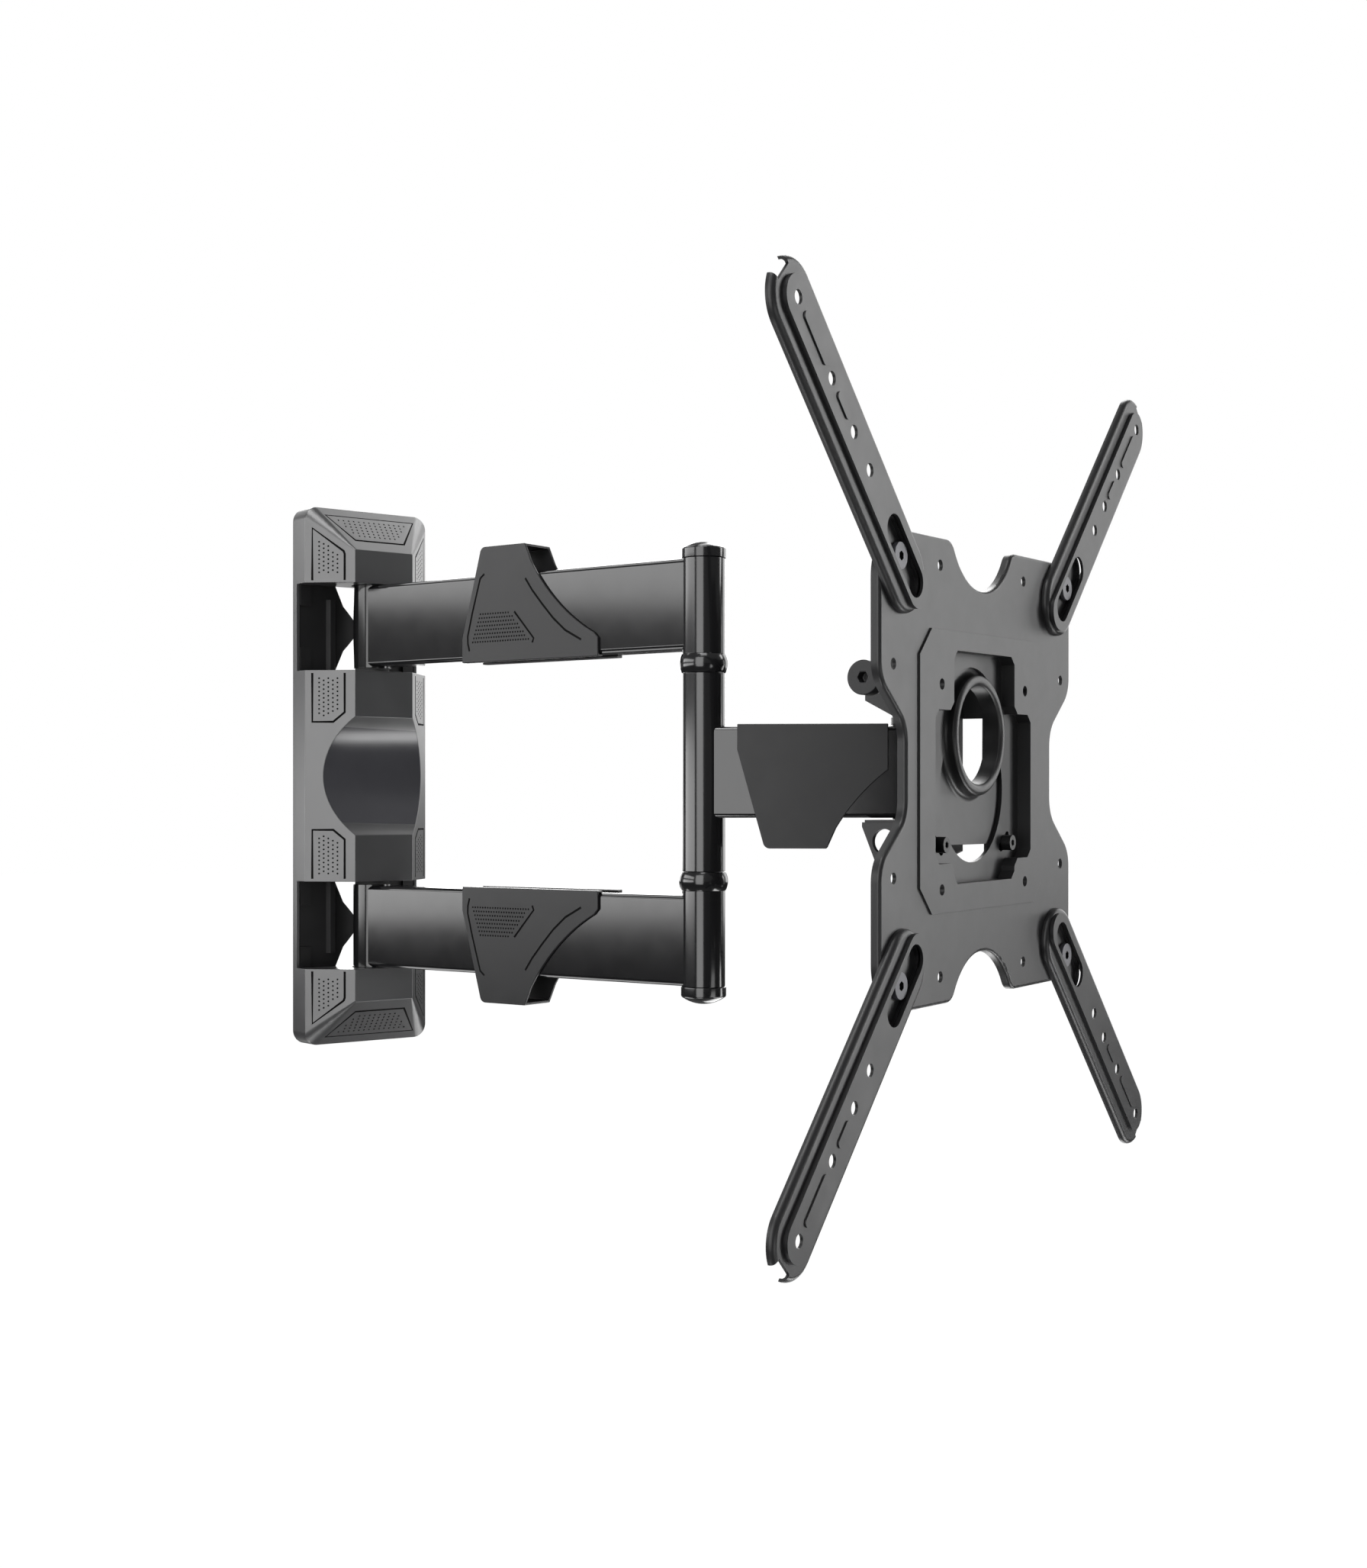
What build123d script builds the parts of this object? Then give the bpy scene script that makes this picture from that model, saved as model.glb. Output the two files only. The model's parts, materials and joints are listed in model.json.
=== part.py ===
from build123d import *
import math
import os

os.makedirs("parts", exist_ok=True)

# A full-motion wall mount for a flat screen. Two arms, one above the other, swing on a
# wall bracket and meet at a post. A third arm folds between them and carries a head that
# turns, tilts and levels a pressed plate with four adjustable arms.
# Origin: middle of the bracket's back face. +X right when facing the wall, +Y into the
# wall, +Z up. All sizes are in millimetres and all angles in degrees.

# Pose that is shown, each angle from the wall's normal towards +X
REAR_ARM_ANGLE = 14.73
FRONT_ARM_ANGLE = 45.81
HEAD_ANGLE = 18.2
PLATE_TILT = 0.34
PLATE_ROLL = 0.68

# Lengths from pivot to pivot
HINGE_FROM_WALL = 21.1
REAR_ARM_LENGTH = 240.2
FRONT_ARM_LENGTH = 108.0
PLATE_FROM_HEAD_PIN = 46.0

# Clearances
RUNNING_FIT = 0.05
FACE_GAP = 0.2
SLIDE_GAP = 0.1

# Arm tubes
ARM_WIDTH = 18.7
ARM_HEIGHT = 47.2
ARM_WALL = 2.0
ARM_EDGE_RADIUS = 2.5
REAR_ARM_Z = 87.6

# Wall bracket plate
PLATE_SHEET = 3.0
BRACKET_HALF_WIDTH = 38.2
BRACKET_HALF_HEIGHT = 153.6
BRACKET_CORNER = 6.0
BRACKET_PAD_WIDTH = 7.0
BRACKET_PAD_RISE = 1.5
BRACKET_RIB_X = 17.5
BRACKET_RIB_WIDTH = 6.0
BRACKET_RIB_HEIGHT = 2.5
WALL_BOLT_RADIUS = 4.5
WALL_BOLT_X = 25.0
WALL_BOLT_Z = 134.0
TONGUE_SHEET = 3.5
TONGUE_ROOT_WIDTH = 30.0
TONGUE_END_RADIUS = 10.5

# Wall hinges, the same above and below
HINGE_PIN_RADIUS = 5.0
HINGE_SLEEVE_RADIUS = 11.0
HINGE_SLEEVE_HALF = 24.4
BUSH_WALL = 2.0
BUSH_FLANGE = 0.8
BUSH_FLANGE_RADIUS = 10.0
PIN_HEAD_RADIUS = 8.0
PIN_HEAD_HEIGHT = 3.0
PIN_TAIL = 3.0
SPACER_THICKNESS = 1.9

# Wall cover
COVER_HALF_WIDTH = 40.85
COVER_HALF_HEIGHT = 156.4
COVER_CORNER = 8.0
COVER_SIDE_DEPTH = 14.4
COVER_DEPTH = 34.8
COVER_FLAT_HALF_WIDTH = 19.3
COVER_FLAT_HALF_HEIGHT = 130.9
COVER_FLAT_CORNER = 1.0
COVER_WALL = 2.0
WINDOW_LOW = 61.3
WINDOW_HIGH = 111.9
WINDOW_STRIP = 4.5
SCOOP_RADIUS = 52.0
SCOOP_DEPTH_LEFT = 21.8

# Post
POST_RADIUS = 11.2
POST_PIN_RADIUS = 6.0
POST_RING_LOW = 51.8
POST_RING_HIGH = 61.4
POST_RING_RADIUS = 12.75
POST_CAP_LOW = 111.4
POST_CAP_HIGH = 120.5
POST_CAP_RADIUS = 11.75
POST_CAP_PLUG = 4.0
POST_CAP_RISE = 4.0

# Cable clips, moulded in one shape that is used both ways up
CLIP_WALL = 1.5
CLIP_START = 81.0
CLIP_LENGTH = 97.3
CLIP_FOOT = 24.8
CLIP_ROOF = 39.4
CLIP_HEEL_Z = -11.6
CLIP_SLOPE_TOP_X = 13.4
CLIP_ROOF_START = 17.0
CLIP_ROOF_END = 46.0
CLIP_SADDLE_START = (50.6, 29.1)
CLIP_SADDLE_MIDDLE = (66.2, 8.9)
CLIP_TAIL_START = (94.4, -11.9)
CLIP_LIP = 3.0
FRONT_CLIP_START = 18.2
FRONT_CLIP_CLEAR = 12.3
CLIP_CORNER_DROP = 2.5
CLIP_CORNER_RUN = 1.2
CLIP_CORNER_RISE = 0.8

BUSH_LENGTH = 12.0
POST_BUSH_LENGTH = 20.0

# Head yoke on the front arm's end
HEAD_PIN_RADIUS = 5.0
HEAD_NUT_HEIGHT = 7.2
HEAD_SLEEVE_RADIUS = 11.0
YOKE_SHEET = 3.0
YOKE_HALF_WIDTH = 25.0
YOKE_WEB_FRONT = 17.0
YOKE_LUG_SHEET = 3.5
YOKE_BEND = 1.2
YOKE_BOTTOM = -41.0
YOKE_TOP = 60.0
YOKE_GUSSET_REACH = 16.0
YOKE_GUSSET_TAPER = 8.0
YOKE_GUSSET_HOLE_RADIUS = 6.5
YOKE_GUSSET_HOLE_X = -3.5
YOKE_GUSSET_HOLE_DROP = 11.0
YOKE_GUSSET_BOTTOM = -47.0
YOKE_GUSSET_FRONT = 5.0
YOKE_TOP_REACH = -3.5
YOKE_TOP_SLOPE = 8.0
YOKE_TOP_LUG_HALF_WIDTH = 11.0

# Tilt bracket
TILT_PIVOT_X = 20.0
TILT_PIVOT_Z = -15.0
TILT_PIN_RADIUS = 4.0
TILT_EAR_RADIUS = 9.5
YOKE_EAR_RADIUS = 8.5
TILT_SHEET = 2.5
CLAMP_BOLT_X = 2.3
CLAMP_BOLT_Z = 45.9
CLAMP_BOLT_RADIUS = 3.0
TILT_BACK = 5.0
TILT_FORWARD = 7.0
TILT_PLATE_HALF_WIDTH = 50.0
TILT_PLATE_TOP = 56.0
TILT_PLATE_BOTTOM = -46.0
TILT_PLATE_CORNER = 8.0
TILT_NOTCH_HALF_WIDTH = 25.0
TILT_NOTCH_TOP = -37.0
TILT_FLANGE_LOW = 28.0
TILT_FLANGE_REACH = 15.5
TILT_FLANGE_DROP = 10.0
TILT_FLANGE_RISE = 3.0
TILT_STRIP_REACH = 1.3
TILT_PIN_HEAD = 2.5
TILT_PIN_HEAD_HEIGHT = 2.0
CLAMP_NUT_ACROSS = 11.0
CLAMP_NUT_HEIGHT = 5.0
CLAMP_BOLT_PAST = 7.0
KNOB_SOCKET_DEPTH = 5.0
KNOB_FACE = 59.0
KNOB_RADIUS = 8.75
KNOB_LENGTH = 9.0
KNOB_SOCKET = 5.0
KNOB_STEM_RADIUS = 5.0

# Level joint between the tilt bracket and the screen plate
LEVEL_Z = 18.4
LEVEL_RANGE = 3.0
COLLAR_RADIUS = 30.5
COLLAR_ROOT_RADIUS = 34.0
COLLAR_LIP = 1.5
COLLAR_HOLE_RADIUS = 25.0
COLLAR_FRONT = -7.2
COLLAR_GAP = 0.4
OPENING_RADIUS = 37.0
OPENING_Z = -9.0
LEVEL_SCREW_X = 39.7
LEVEL_SCREW_Z = -36.5
LEVEL_SCREW_RADIUS = 2.0
LEVEL_SLOT_RADIUS = 2.4
LEVEL_HEAD_RADIUS = 4.0
LEVEL_HEAD_HEIGHT = 5.2
LEVEL_SOCKET_DEPTH = 2.6
LEVEL_SCREW_PAST = 2.0
LEVEL_SLOT_END = 1.0
LEVEL_HEX = 3.0

# Screen plate, depths measured back from the plane of the screen's holes
SHEET = 2.0
PLATE_FACE = -6.1
PLATE_RAISED = -5.1
PLATE_RIM_BACK = -11.0
RECESS_FLOOR = -12.4
RECESS_CORNER = 4.0
PLATE_HALF = 113.6
PLATE_CORNER = 24.0
SCALLOP_RADIUS = 38.8
SCALLOP_BOTTOM = 91.0
WAIST_HALF = 86.5
WAIST_FILLET = 17.0
RIM_BEND = 2.0
WAIST_HALF_HEIGHT = 22.0
WAIST_MOUTH = 44.0
NOTCH_FILLET = 9.0
RAISED_HALF_WIDTH = 74.0
RAISED_HALF_HEIGHT = 69.0
RAISED_CHAMFER = 13.0
RECESS_Z = 2.0
RECESS_HALF_WIDTH = 57.3
RECESS_HALF_HEIGHT = 57.5
RECESS_LAND_X = 36.4
RECESS_LAND_HIGH = 30.0
RECESS_LAND_LOW = -45.0
INNER_HOLE = 50.0
INNER_HOLE_Z = -7.6
OUTER_HOLE = 100.0
SCREEN_HOLE_RADIUS = 2.75
STOP_HOLE = 88.0
STOP_HOLE_RADIUS = 2.0

# Spider arms, hole distances measured from the pivot
PIVOT = 100.0
SPIDER_SHEET = 1.5
SPIDER_HALF_WIDTH = 18.0
SPIDER_STRIP_HALF_WIDTH = 10.0
SPIDER_STEP = 2.0
SPIDER_BEND = 3.0
SPIDER_INNER_BEND = 1.5
SPIDER_BACK = -6.0
SPIDER_TAIL = 29.5
SPIDER_FIRST_HOLE = 49.5
SPIDER_SECOND_HOLE = 70.7
SPIDER_THIRD_HOLE = 99.6
SPIDER_TIP_HOLE = 141.42
SPIDER_RELIEF_HALF_WIDTH = 6.0
SPIDER_RELIEF_START = 13.0
SPIDER_HOLE_RADIUS = 3.2
SPIDER_POCKET_HALF_WIDTH = 7.5
SPIDER_POCKET_HALF_LENGTH = 23.0
SPIDER_POCKET_SHIFT = -0.5
SPIDER_POCKET_FLOOR = -4.6
SPIDER_RIB_HALF_WIDTH = 2.2
SPIDER_RIB_RISE = 0.7
SPIDER_RIB_MARGIN = 7.4
PIVOT_BOLT_RADIUS = 3.0
PIVOT_HEAD_RADIUS = 6.5
PIVOT_HEAD_HEIGHT = 2.6
PIVOT_NUT_ACROSS = 10.0
PIVOT_NUT_HEIGHT = 4.0
PIVOT_BOLT_PAST = 1.0

# Sizes worked out from the ones above
ARM_HALF = ARM_WIDTH / 2
FRONT_CLIP_LENGTH = FRONT_ARM_LENGTH - FRONT_CLIP_START - FRONT_CLIP_CLEAR
TONGUE_HIGH = REAR_ARM_Z + HINGE_SLEEVE_HALF + BUSH_FLANGE + FACE_GAP
TONGUE_LOW = REAR_ARM_Z - HINGE_SLEEVE_HALF - BUSH_FLANGE - SPACER_THICKNESS - FACE_GAP
HEAD_LUG = ARM_HEIGHT / 2 + BUSH_FLANGE + FACE_GAP
RAISED_BACK = PLATE_FACE - SHEET
TILT_PLATE_FACE = RECESS_FLOOR - SHEET - SLIDE_GAP
TILT_PLATE_BACK = TILT_PLATE_FACE - TILT_SHEET
TILT_FLANGE_INSIDE = YOKE_HALF_WIDTH + SLIDE_GAP
TILT_FLANGE_OUTSIDE = TILT_FLANGE_INSIDE + TILT_SHEET
TILT_ORIGIN_X = PLATE_FROM_HEAD_PIN - TILT_PIVOT_X

# Frames of the moving bodies. X points away from the wall along each arm, or out of the
# screen plate, and Y to its right.
REAR = Location((0, -HINGE_FROM_WALL, 0), (0, 0, REAR_ARM_ANGLE - 90))
FRONT = REAR * Location((REAR_ARM_LENGTH, 0, 0), (0, 0, FRONT_ARM_ANGLE - REAR_ARM_ANGLE))
HEAD = FRONT * Location((FRONT_ARM_LENGTH, 0, 0), (0, 0, HEAD_ANGLE - FRONT_ARM_ANGLE))
TILT_AXIS = Location((TILT_PIVOT_X, 0, TILT_PIVOT_Z))
TILT = HEAD * TILT_AXIS * Rot(0, PLATE_TILT, 0) * Pos(TILT_ORIGIN_X, 0, -TILT_PIVOT_Z)
PLATE = TILT * Pos(0, 0, LEVEL_Z) * Rot(PLATE_ROLL, 0, 0) * Pos(0, 0, -LEVEL_Z)
WALL = Location((0, 0, 0))


def block(x_low, x_high, y_low, y_high, z_low, z_high):
    """Box between two corners."""
    box = Box(x_high - x_low, y_high - y_low, z_high - z_low)
    return Pos((x_low + x_high) / 2, (y_low + y_high) / 2, (z_low + z_high) / 2) * box


def rod(radius, low, high):
    """Round bar along Z."""
    return Pos(0, 0, (low + high) / 2) * Cylinder(radius, high - low)


def ring(outer, inner, low, high):
    """Tube along Z."""
    return rod(outer, low, high) - rod(inner, low, high)


def along_x(shape):
    """A shape made along Z, laid along X."""
    return Rot(0, 90, 0) * shape


def along_y(shape):
    """A shape made along Z, laid along Y."""
    return Rot(-90, 0, 0) * shape


def hexagon(across, low, high):
    """Six-sided bar along Z, measured across its flats."""
    return Pos(0, 0, low) * extrude(RegularPolygon(across / math.sqrt(3), 6), high - low)


def slab(sketch, low, high):
    """A sketch drawn in Y and Z, given thickness along X."""
    return Pos(low, 0, 0) * extrude(Plane.YZ * sketch, high - low)


# Wall bracket


def tongue(z_low, z_high):
    """Flat tongue that stands out of the bracket and holds a hinge pin."""
    outline = make_face(
        Polyline(
            (-TONGUE_ROOT_WIDTH / 2, 0),
            (-TONGUE_END_RADIUS, -HINGE_FROM_WALL),
            (TONGUE_END_RADIUS, -HINGE_FROM_WALL),
            (TONGUE_ROOT_WIDTH / 2, 0),
            close=True,
        )
    )
    outline += Pos(0, -HINGE_FROM_WALL) * Circle(TONGUE_END_RADIUS)
    outline -= Pos(0, -HINGE_FROM_WALL) * Circle(HINGE_PIN_RADIUS)
    return Pos(0, 0, z_low) * extrude(outline, z_high - z_low)


def tongue_gap(side):
    """Pointed opening left in the sheet where a tongue was bent out, seen from the room."""
    root = HINGE_SLEEVE_HALF + 2.0
    shoulder = root / 2
    tip = 3.0
    neck = TONGUE_ROOT_WIDTH * 0.3
    left = ThreePointArc((-neck, side * shoulder), (-neck / 3, side * shoulder / 2), (0, side * tip))
    right = ThreePointArc((0, side * tip), (neck / 3, side * shoulder / 2), (neck, side * shoulder))
    mouth = Polyline(
        (neck, side * shoulder),
        (TONGUE_ROOT_WIDTH / 2, side * root),
        (-TONGUE_ROOT_WIDTH / 2, side * root),
        (-neck, side * shoulder),
    )
    return make_face(left + right + mouth)


def wall_bracket():
    """Pressed steel plate with four hinge tongues, edge pads and two long ribs."""
    sheet = RectangleRounded(2 * BRACKET_HALF_WIDTH, 2 * BRACKET_HALF_HEIGHT, BRACKET_CORNER)
    for side in (-1, 1):
        for mirror in (-1, 1):
            sheet -= Pos(0, side * REAR_ARM_Z) * tongue_gap(mirror)
        for x in (-WALL_BOLT_X, 0, WALL_BOLT_X):
            sheet -= Pos(x, side * WALL_BOLT_Z) * Circle(WALL_BOLT_RADIUS)
    plate = extrude(Plane.XZ * sheet, PLATE_SHEET)
    raised = PLATE_SHEET + BRACKET_PAD_RISE
    for side in (-1, 1):
        rib = BRACKET_RIB_WIDTH / 2
        centre = side * BRACKET_RIB_X
        ridge = make_face(
            Polyline(
                (centre - rib, -PLATE_SHEET),
                (centre - rib / 2, -PLATE_SHEET - BRACKET_RIB_HEIGHT),
                (centre + rib / 2, -PLATE_SHEET - BRACKET_RIB_HEIGHT),
                (centre + rib, -PLATE_SHEET),
                close=True,
            )
        )
        reach = TONGUE_LOW + REAR_ARM_Z / 2
        plate += Pos(0, 0, -reach) * extrude(ridge, 2 * reach)
        for level in (-1, 1):
            for end in (-1, 1):
                z = level * REAR_ARM_Z + end * HINGE_SLEEVE_HALF
                x = side * (BRACKET_HALF_WIDTH - BRACKET_PAD_WIDTH / 2)
                pad = Box(BRACKET_PAD_WIDTH, raised, HINGE_SLEEVE_HALF)
                plate += Pos(x, -raised / 2, z) * pad
    for side in (-1, 1):
        for near in (TONGUE_LOW - TONGUE_SHEET, TONGUE_HIGH):
            z = side * near if side > 0 else side * near - TONGUE_SHEET
            plate += tongue(z, z + TONGUE_SHEET)
    return plate


def hinge_pin():
    """Headed pin of an upper wall hinge, drawn at the arm's middle height."""
    top = TONGUE_HIGH - REAR_ARM_Z + TONGUE_SHEET
    bottom = TONGUE_LOW - REAR_ARM_Z - TONGUE_SHEET
    pin = rod(HINGE_PIN_RADIUS, bottom - PIN_TAIL, top)
    return pin + rod(PIN_HEAD_RADIUS, top, top + PIN_HEAD_HEIGHT)


def hinge_spacer():
    """Plastic washer on the inner tongue that carries the arm's sleeve."""
    low = TONGUE_LOW - REAR_ARM_Z
    return ring(BUSH_FLANGE_RADIUS, HINGE_PIN_RADIUS + RUNNING_FIT, low, low + SPACER_THICKNESS)


def bush_pair(pin_radius, half_height, inner_length):
    """Two flanged plastic bushes, one pressed into each end of a sleeve."""
    bore = pin_radius + RUNNING_FIT
    outer = pin_radius + BUSH_WALL
    pair = ring(outer, bore, half_height - inner_length, half_height)
    pair += ring(BUSH_FLANGE_RADIUS, bore, half_height, half_height + BUSH_FLANGE)
    return pair + mirror(pair, Plane.XY)


# Wall cover


def cover_form(inset):
    """Outer or inner form of the cover: an upright base with four slopes to a flat."""
    base = RectangleRounded(
        2 * (COVER_HALF_WIDTH - inset), 2 * (COVER_HALF_HEIGHT - inset), COVER_CORNER - inset
    )
    flat = RectangleRounded(
        2 * (COVER_FLAT_HALF_WIDTH - inset / 2),
        2 * (COVER_FLAT_HALF_HEIGHT - inset / 2),
        COVER_FLAT_CORNER,
    )
    side = COVER_SIDE_DEPTH - inset / 2
    upright = extrude(Plane.XZ * base, side)
    shoulder = (Plane.XZ.offset(side) * base).face()
    front = (Plane.XZ.offset(COVER_DEPTH - inset) * flat).face()
    slopes = loft([shoulder, front], ruled=True)
    scoop_axis = -SCOOP_DEPTH_LEFT - SCOOP_RADIUS
    reach = 2 * COVER_HALF_WIDTH
    scoop = Pos(0, scoop_axis, 0) * along_x(rod(SCOOP_RADIUS + inset, -reach, reach))
    return upright + slopes - scoop


def wall_cover():
    """One moulding over the bracket, with a slot at each height for the arms."""
    shell = cover_form(0) - cover_form(COVER_WALL)
    for side in (-1, 1):
        low, high = sorted((side * WINDOW_LOW, side * WINDOW_HIGH))
        deep = 2 * COVER_DEPTH
        wide = 2 * COVER_HALF_WIDTH
        shell -= block(-wide, wide, -deep, -WINDOW_STRIP, low, high)
        for edge, thick in ((side * WINDOW_HIGH, side * 0.9), (side * WINDOW_LOW, side * -0.9)):
            web_low, web_high = sorted((edge, edge + thick))
            web = cover_form(COVER_WALL / 2) & block(
                -wide, wide, -deep, -PLATE_SHEET - BRACKET_RIB_HEIGHT, web_low, web_high
            )
            web -= Pos(0, -HINGE_FROM_WALL, 0) * rod(HINGE_SLEEVE_RADIUS + 1, web_low, web_high)
            shell += web
    return shell


# Arms


def arm_tube(length, start_radius, end_radius, end_half_height):
    """Rectangular tube along X, its ends shaped to fit round the sleeves it is welded to."""
    outer = RectangleRounded(ARM_WIDTH, ARM_HEIGHT, ARM_EDGE_RADIUS)
    inner = RectangleRounded(
        ARM_WIDTH - 2 * ARM_WALL, ARM_HEIGHT - 2 * ARM_WALL, ARM_EDGE_RADIUS / 2
    )
    tube = slab(outer, 0, length) - slab(inner, 0, length)
    tube -= rod(start_radius, -end_half_height, end_half_height)
    return tube - Pos(length, 0, 0) * rod(end_radius, -end_half_height, end_half_height)


def hinge_sleeve():
    """Round sleeve at the wall end of a rear arm."""
    bore = HINGE_PIN_RADIUS + BUSH_WALL
    return ring(HINGE_SLEEVE_RADIUS, bore, -HINGE_SLEEVE_HALF, HINGE_SLEEVE_HALF)


def rear_post_tube():
    """Part of the post that belongs to the upper rear arm."""
    return ring(POST_RADIUS, POST_PIN_RADIUS, POST_RING_HIGH, POST_CAP_LOW)


def front_post_tube():
    """Middle part of the post, which belongs to the front arm."""
    half = POST_RING_LOW - FACE_GAP
    return ring(POST_RADIUS, POST_PIN_RADIUS + BUSH_WALL, -half, half)


def post_pin():
    """Steel pin through the whole post."""
    end = POST_CAP_LOW + POST_CAP_PLUG
    return rod(POST_PIN_RADIUS, -end, end)


def post_ring():
    """Bulged plastic ring between the upper and the middle part of the post."""
    middle = (POST_RING_LOW + POST_RING_HIGH) / 2
    half = (POST_RING_HIGH - POST_RING_LOW) / 2
    edge = POST_RADIUS + 0.3
    bulge = ThreePointArc((edge, middle - half), (POST_RING_RADIUS, middle), (edge, middle + half))
    inner = Polyline(
        (edge, middle + half),
        (POST_PIN_RADIUS, middle + half),
        (POST_PIN_RADIUS, middle - half),
        (edge, middle - half),
    )
    return revolve(Plane.XZ * make_face(bulge + inner), Axis.Z)


def post_cap():
    """Domed cap on the top of the post."""
    dome_radius = (POST_CAP_RADIUS**2 + POST_CAP_RISE**2) / (2 * POST_CAP_RISE)
    ball = Pos(0, 0, POST_CAP_HIGH - dome_radius) * Sphere(dome_radius)
    cap = rod(POST_CAP_RADIUS, POST_CAP_LOW, POST_CAP_HIGH) & ball
    return cap - rod(POST_PIN_RADIUS, POST_CAP_LOW, POST_CAP_LOW + POST_CAP_PLUG)


def clip_outline():
    """Side outline of a cable clip, from its heel over the roof to its tail."""
    tail_z = CLIP_TAIL_START[1] - CLIP_LIP
    heel = Polyline(
        (CLIP_LENGTH, tail_z),
        (CLIP_LENGTH, -CLIP_FOOT),
        (0, -CLIP_FOOT),
        (0, CLIP_HEEL_Z),
        (CLIP_SLOPE_TOP_X, CLIP_ROOF - CLIP_CORNER_DROP),
    )
    corner = ThreePointArc(
        (CLIP_SLOPE_TOP_X, CLIP_ROOF - CLIP_CORNER_DROP),
        (CLIP_SLOPE_TOP_X + CLIP_CORNER_RUN, CLIP_ROOF - CLIP_CORNER_RISE),
        (CLIP_ROOF_START, CLIP_ROOF),
    )
    roof = Polyline((CLIP_ROOF_START, CLIP_ROOF), (CLIP_ROOF_END, CLIP_ROOF), CLIP_SADDLE_START)
    saddle = ThreePointArc(CLIP_SADDLE_START, CLIP_SADDLE_MIDDLE, CLIP_TAIL_START)
    tail = Line(CLIP_TAIL_START, (CLIP_LENGTH, tail_z))
    return make_face(heel + corner + roof + saddle + tail)


def cable_clip(length):
    """Plastic sleeve over an arm with a loop above it for cables, drawn from its heel."""
    outside = ARM_HALF + CLIP_WALL
    clip = extrude(Plane.XZ * clip_outline(), outside, both=True)
    channel = CLIP_ROOF - CLIP_WALL
    half = ARM_HEIGHT / 2
    clip -= block(-1, CLIP_LENGTH + 1, -ARM_HALF, ARM_HALF, -half, channel)
    mouth = ARM_HALF - CLIP_LIP
    clip -= block(-1, CLIP_LENGTH + 1, -mouth, mouth, -CLIP_FOOT - 1, -half + 1)
    return clip & block(-1, length, -outside, outside, -CLIP_FOOT - 1, CLIP_ROOF + 1)


# Head


def head_yoke():
    """Pressed yoke: a web in front of the pin, two lugs and side flanges above and below."""
    web_back = YOKE_WEB_FRONT - YOKE_SHEET
    yoke = block(web_back, YOKE_WEB_FRONT, -YOKE_HALF_WIDTH, YOKE_HALF_WIDTH, YOKE_BOTTOM, YOKE_TOP)
    inside = YOKE_HALF_WIDTH - YOKE_SHEET
    flange_start = HEAD_LUG + YOKE_BEND
    lower = make_face(
        Polyline(
            (YOKE_WEB_FRONT, -flange_start),
            (-YOKE_GUSSET_REACH, -flange_start),
            (-YOKE_GUSSET_REACH, -HEAD_LUG - YOKE_LUG_SHEET),
            (-YOKE_GUSSET_TAPER, YOKE_GUSSET_BOTTOM),
            (YOKE_GUSSET_FRONT, YOKE_GUSSET_BOTTOM),
            (YOKE_WEB_FRONT, YOKE_BOTTOM),
            close=True,
        )
    )
    gusset_hole = Circle(YOKE_GUSSET_HOLE_RADIUS)
    lower -= Pos(YOKE_GUSSET_HOLE_X, -HEAD_LUG - YOKE_GUSSET_HOLE_DROP) * gusset_hole
    upper = make_face(
        Polyline(
            (YOKE_WEB_FRONT, flange_start),
            (CLAMP_BOLT_X, flange_start),
            (YOKE_TOP_REACH, CLAMP_BOLT_Z - YOKE_TOP_SLOPE),
            (YOKE_TOP_REACH, YOKE_TOP),
            (YOKE_WEB_FRONT, YOKE_TOP),
            close=True,
        )
    )
    ear_low = TILT_PIVOT_Z - YOKE_EAR_RADIUS
    ear_high = TILT_PIVOT_Z + YOKE_EAR_RADIUS
    ear = make_face(
        Polyline(
            (web_back, ear_low),
            (TILT_PIVOT_X, ear_low),
            (TILT_PIVOT_X, ear_high),
            (web_back, ear_high),
            close=True,
        )
    )
    ear += Pos(TILT_PIVOT_X, TILT_PIVOT_Z) * Circle(YOKE_EAR_RADIUS)
    for side in (-1, 1):
        flange = extrude(Plane.XZ * (lower + upper + ear), YOKE_SHEET)
        yoke += Pos(0, side * YOKE_HALF_WIDTH if side > 0 else -inside, 0) * flange
    lug = block(-YOKE_GUSSET_REACH, web_back, -inside, inside, 0, YOKE_LUG_SHEET)
    yoke += Pos(0, 0, -HEAD_LUG - YOKE_LUG_SHEET) * lug
    top = block(0, web_back, -YOKE_TOP_LUG_HALF_WIDTH, YOKE_TOP_LUG_HALF_WIDTH, 0, YOKE_LUG_SHEET)
    top += rod(YOKE_TOP_LUG_HALF_WIDTH, 0, YOKE_LUG_SHEET)
    yoke += Pos(0, 0, HEAD_LUG) * top
    yoke -= rod(HEAD_PIN_RADIUS, -HEAD_LUG - YOKE_LUG_SHEET, HEAD_LUG + YOKE_LUG_SHEET)
    past = YOKE_HALF_WIDTH + 1
    pivot_hole = rod(TILT_PIN_RADIUS + RUNNING_FIT, -past, past)
    clamp_hole = rod(CLAMP_BOLT_RADIUS + RUNNING_FIT, -past, past)
    yoke -= Pos(TILT_PIVOT_X, 0, TILT_PIVOT_Z) * along_y(pivot_hole)
    yoke -= Pos(CLAMP_BOLT_X, 0, CLAMP_BOLT_Z) * along_y(clamp_hole)
    return yoke


def head_pin():
    """Bolt through the yoke's lugs and the front arm's end sleeve, with its nut below."""
    top = HEAD_LUG + YOKE_LUG_SHEET
    pin = rod(HEAD_PIN_RADIUS, -top - PIN_HEAD_HEIGHT, top)
    pin += rod(PIN_HEAD_RADIUS, top, top + PIN_HEAD_HEIGHT)
    return pin


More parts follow.
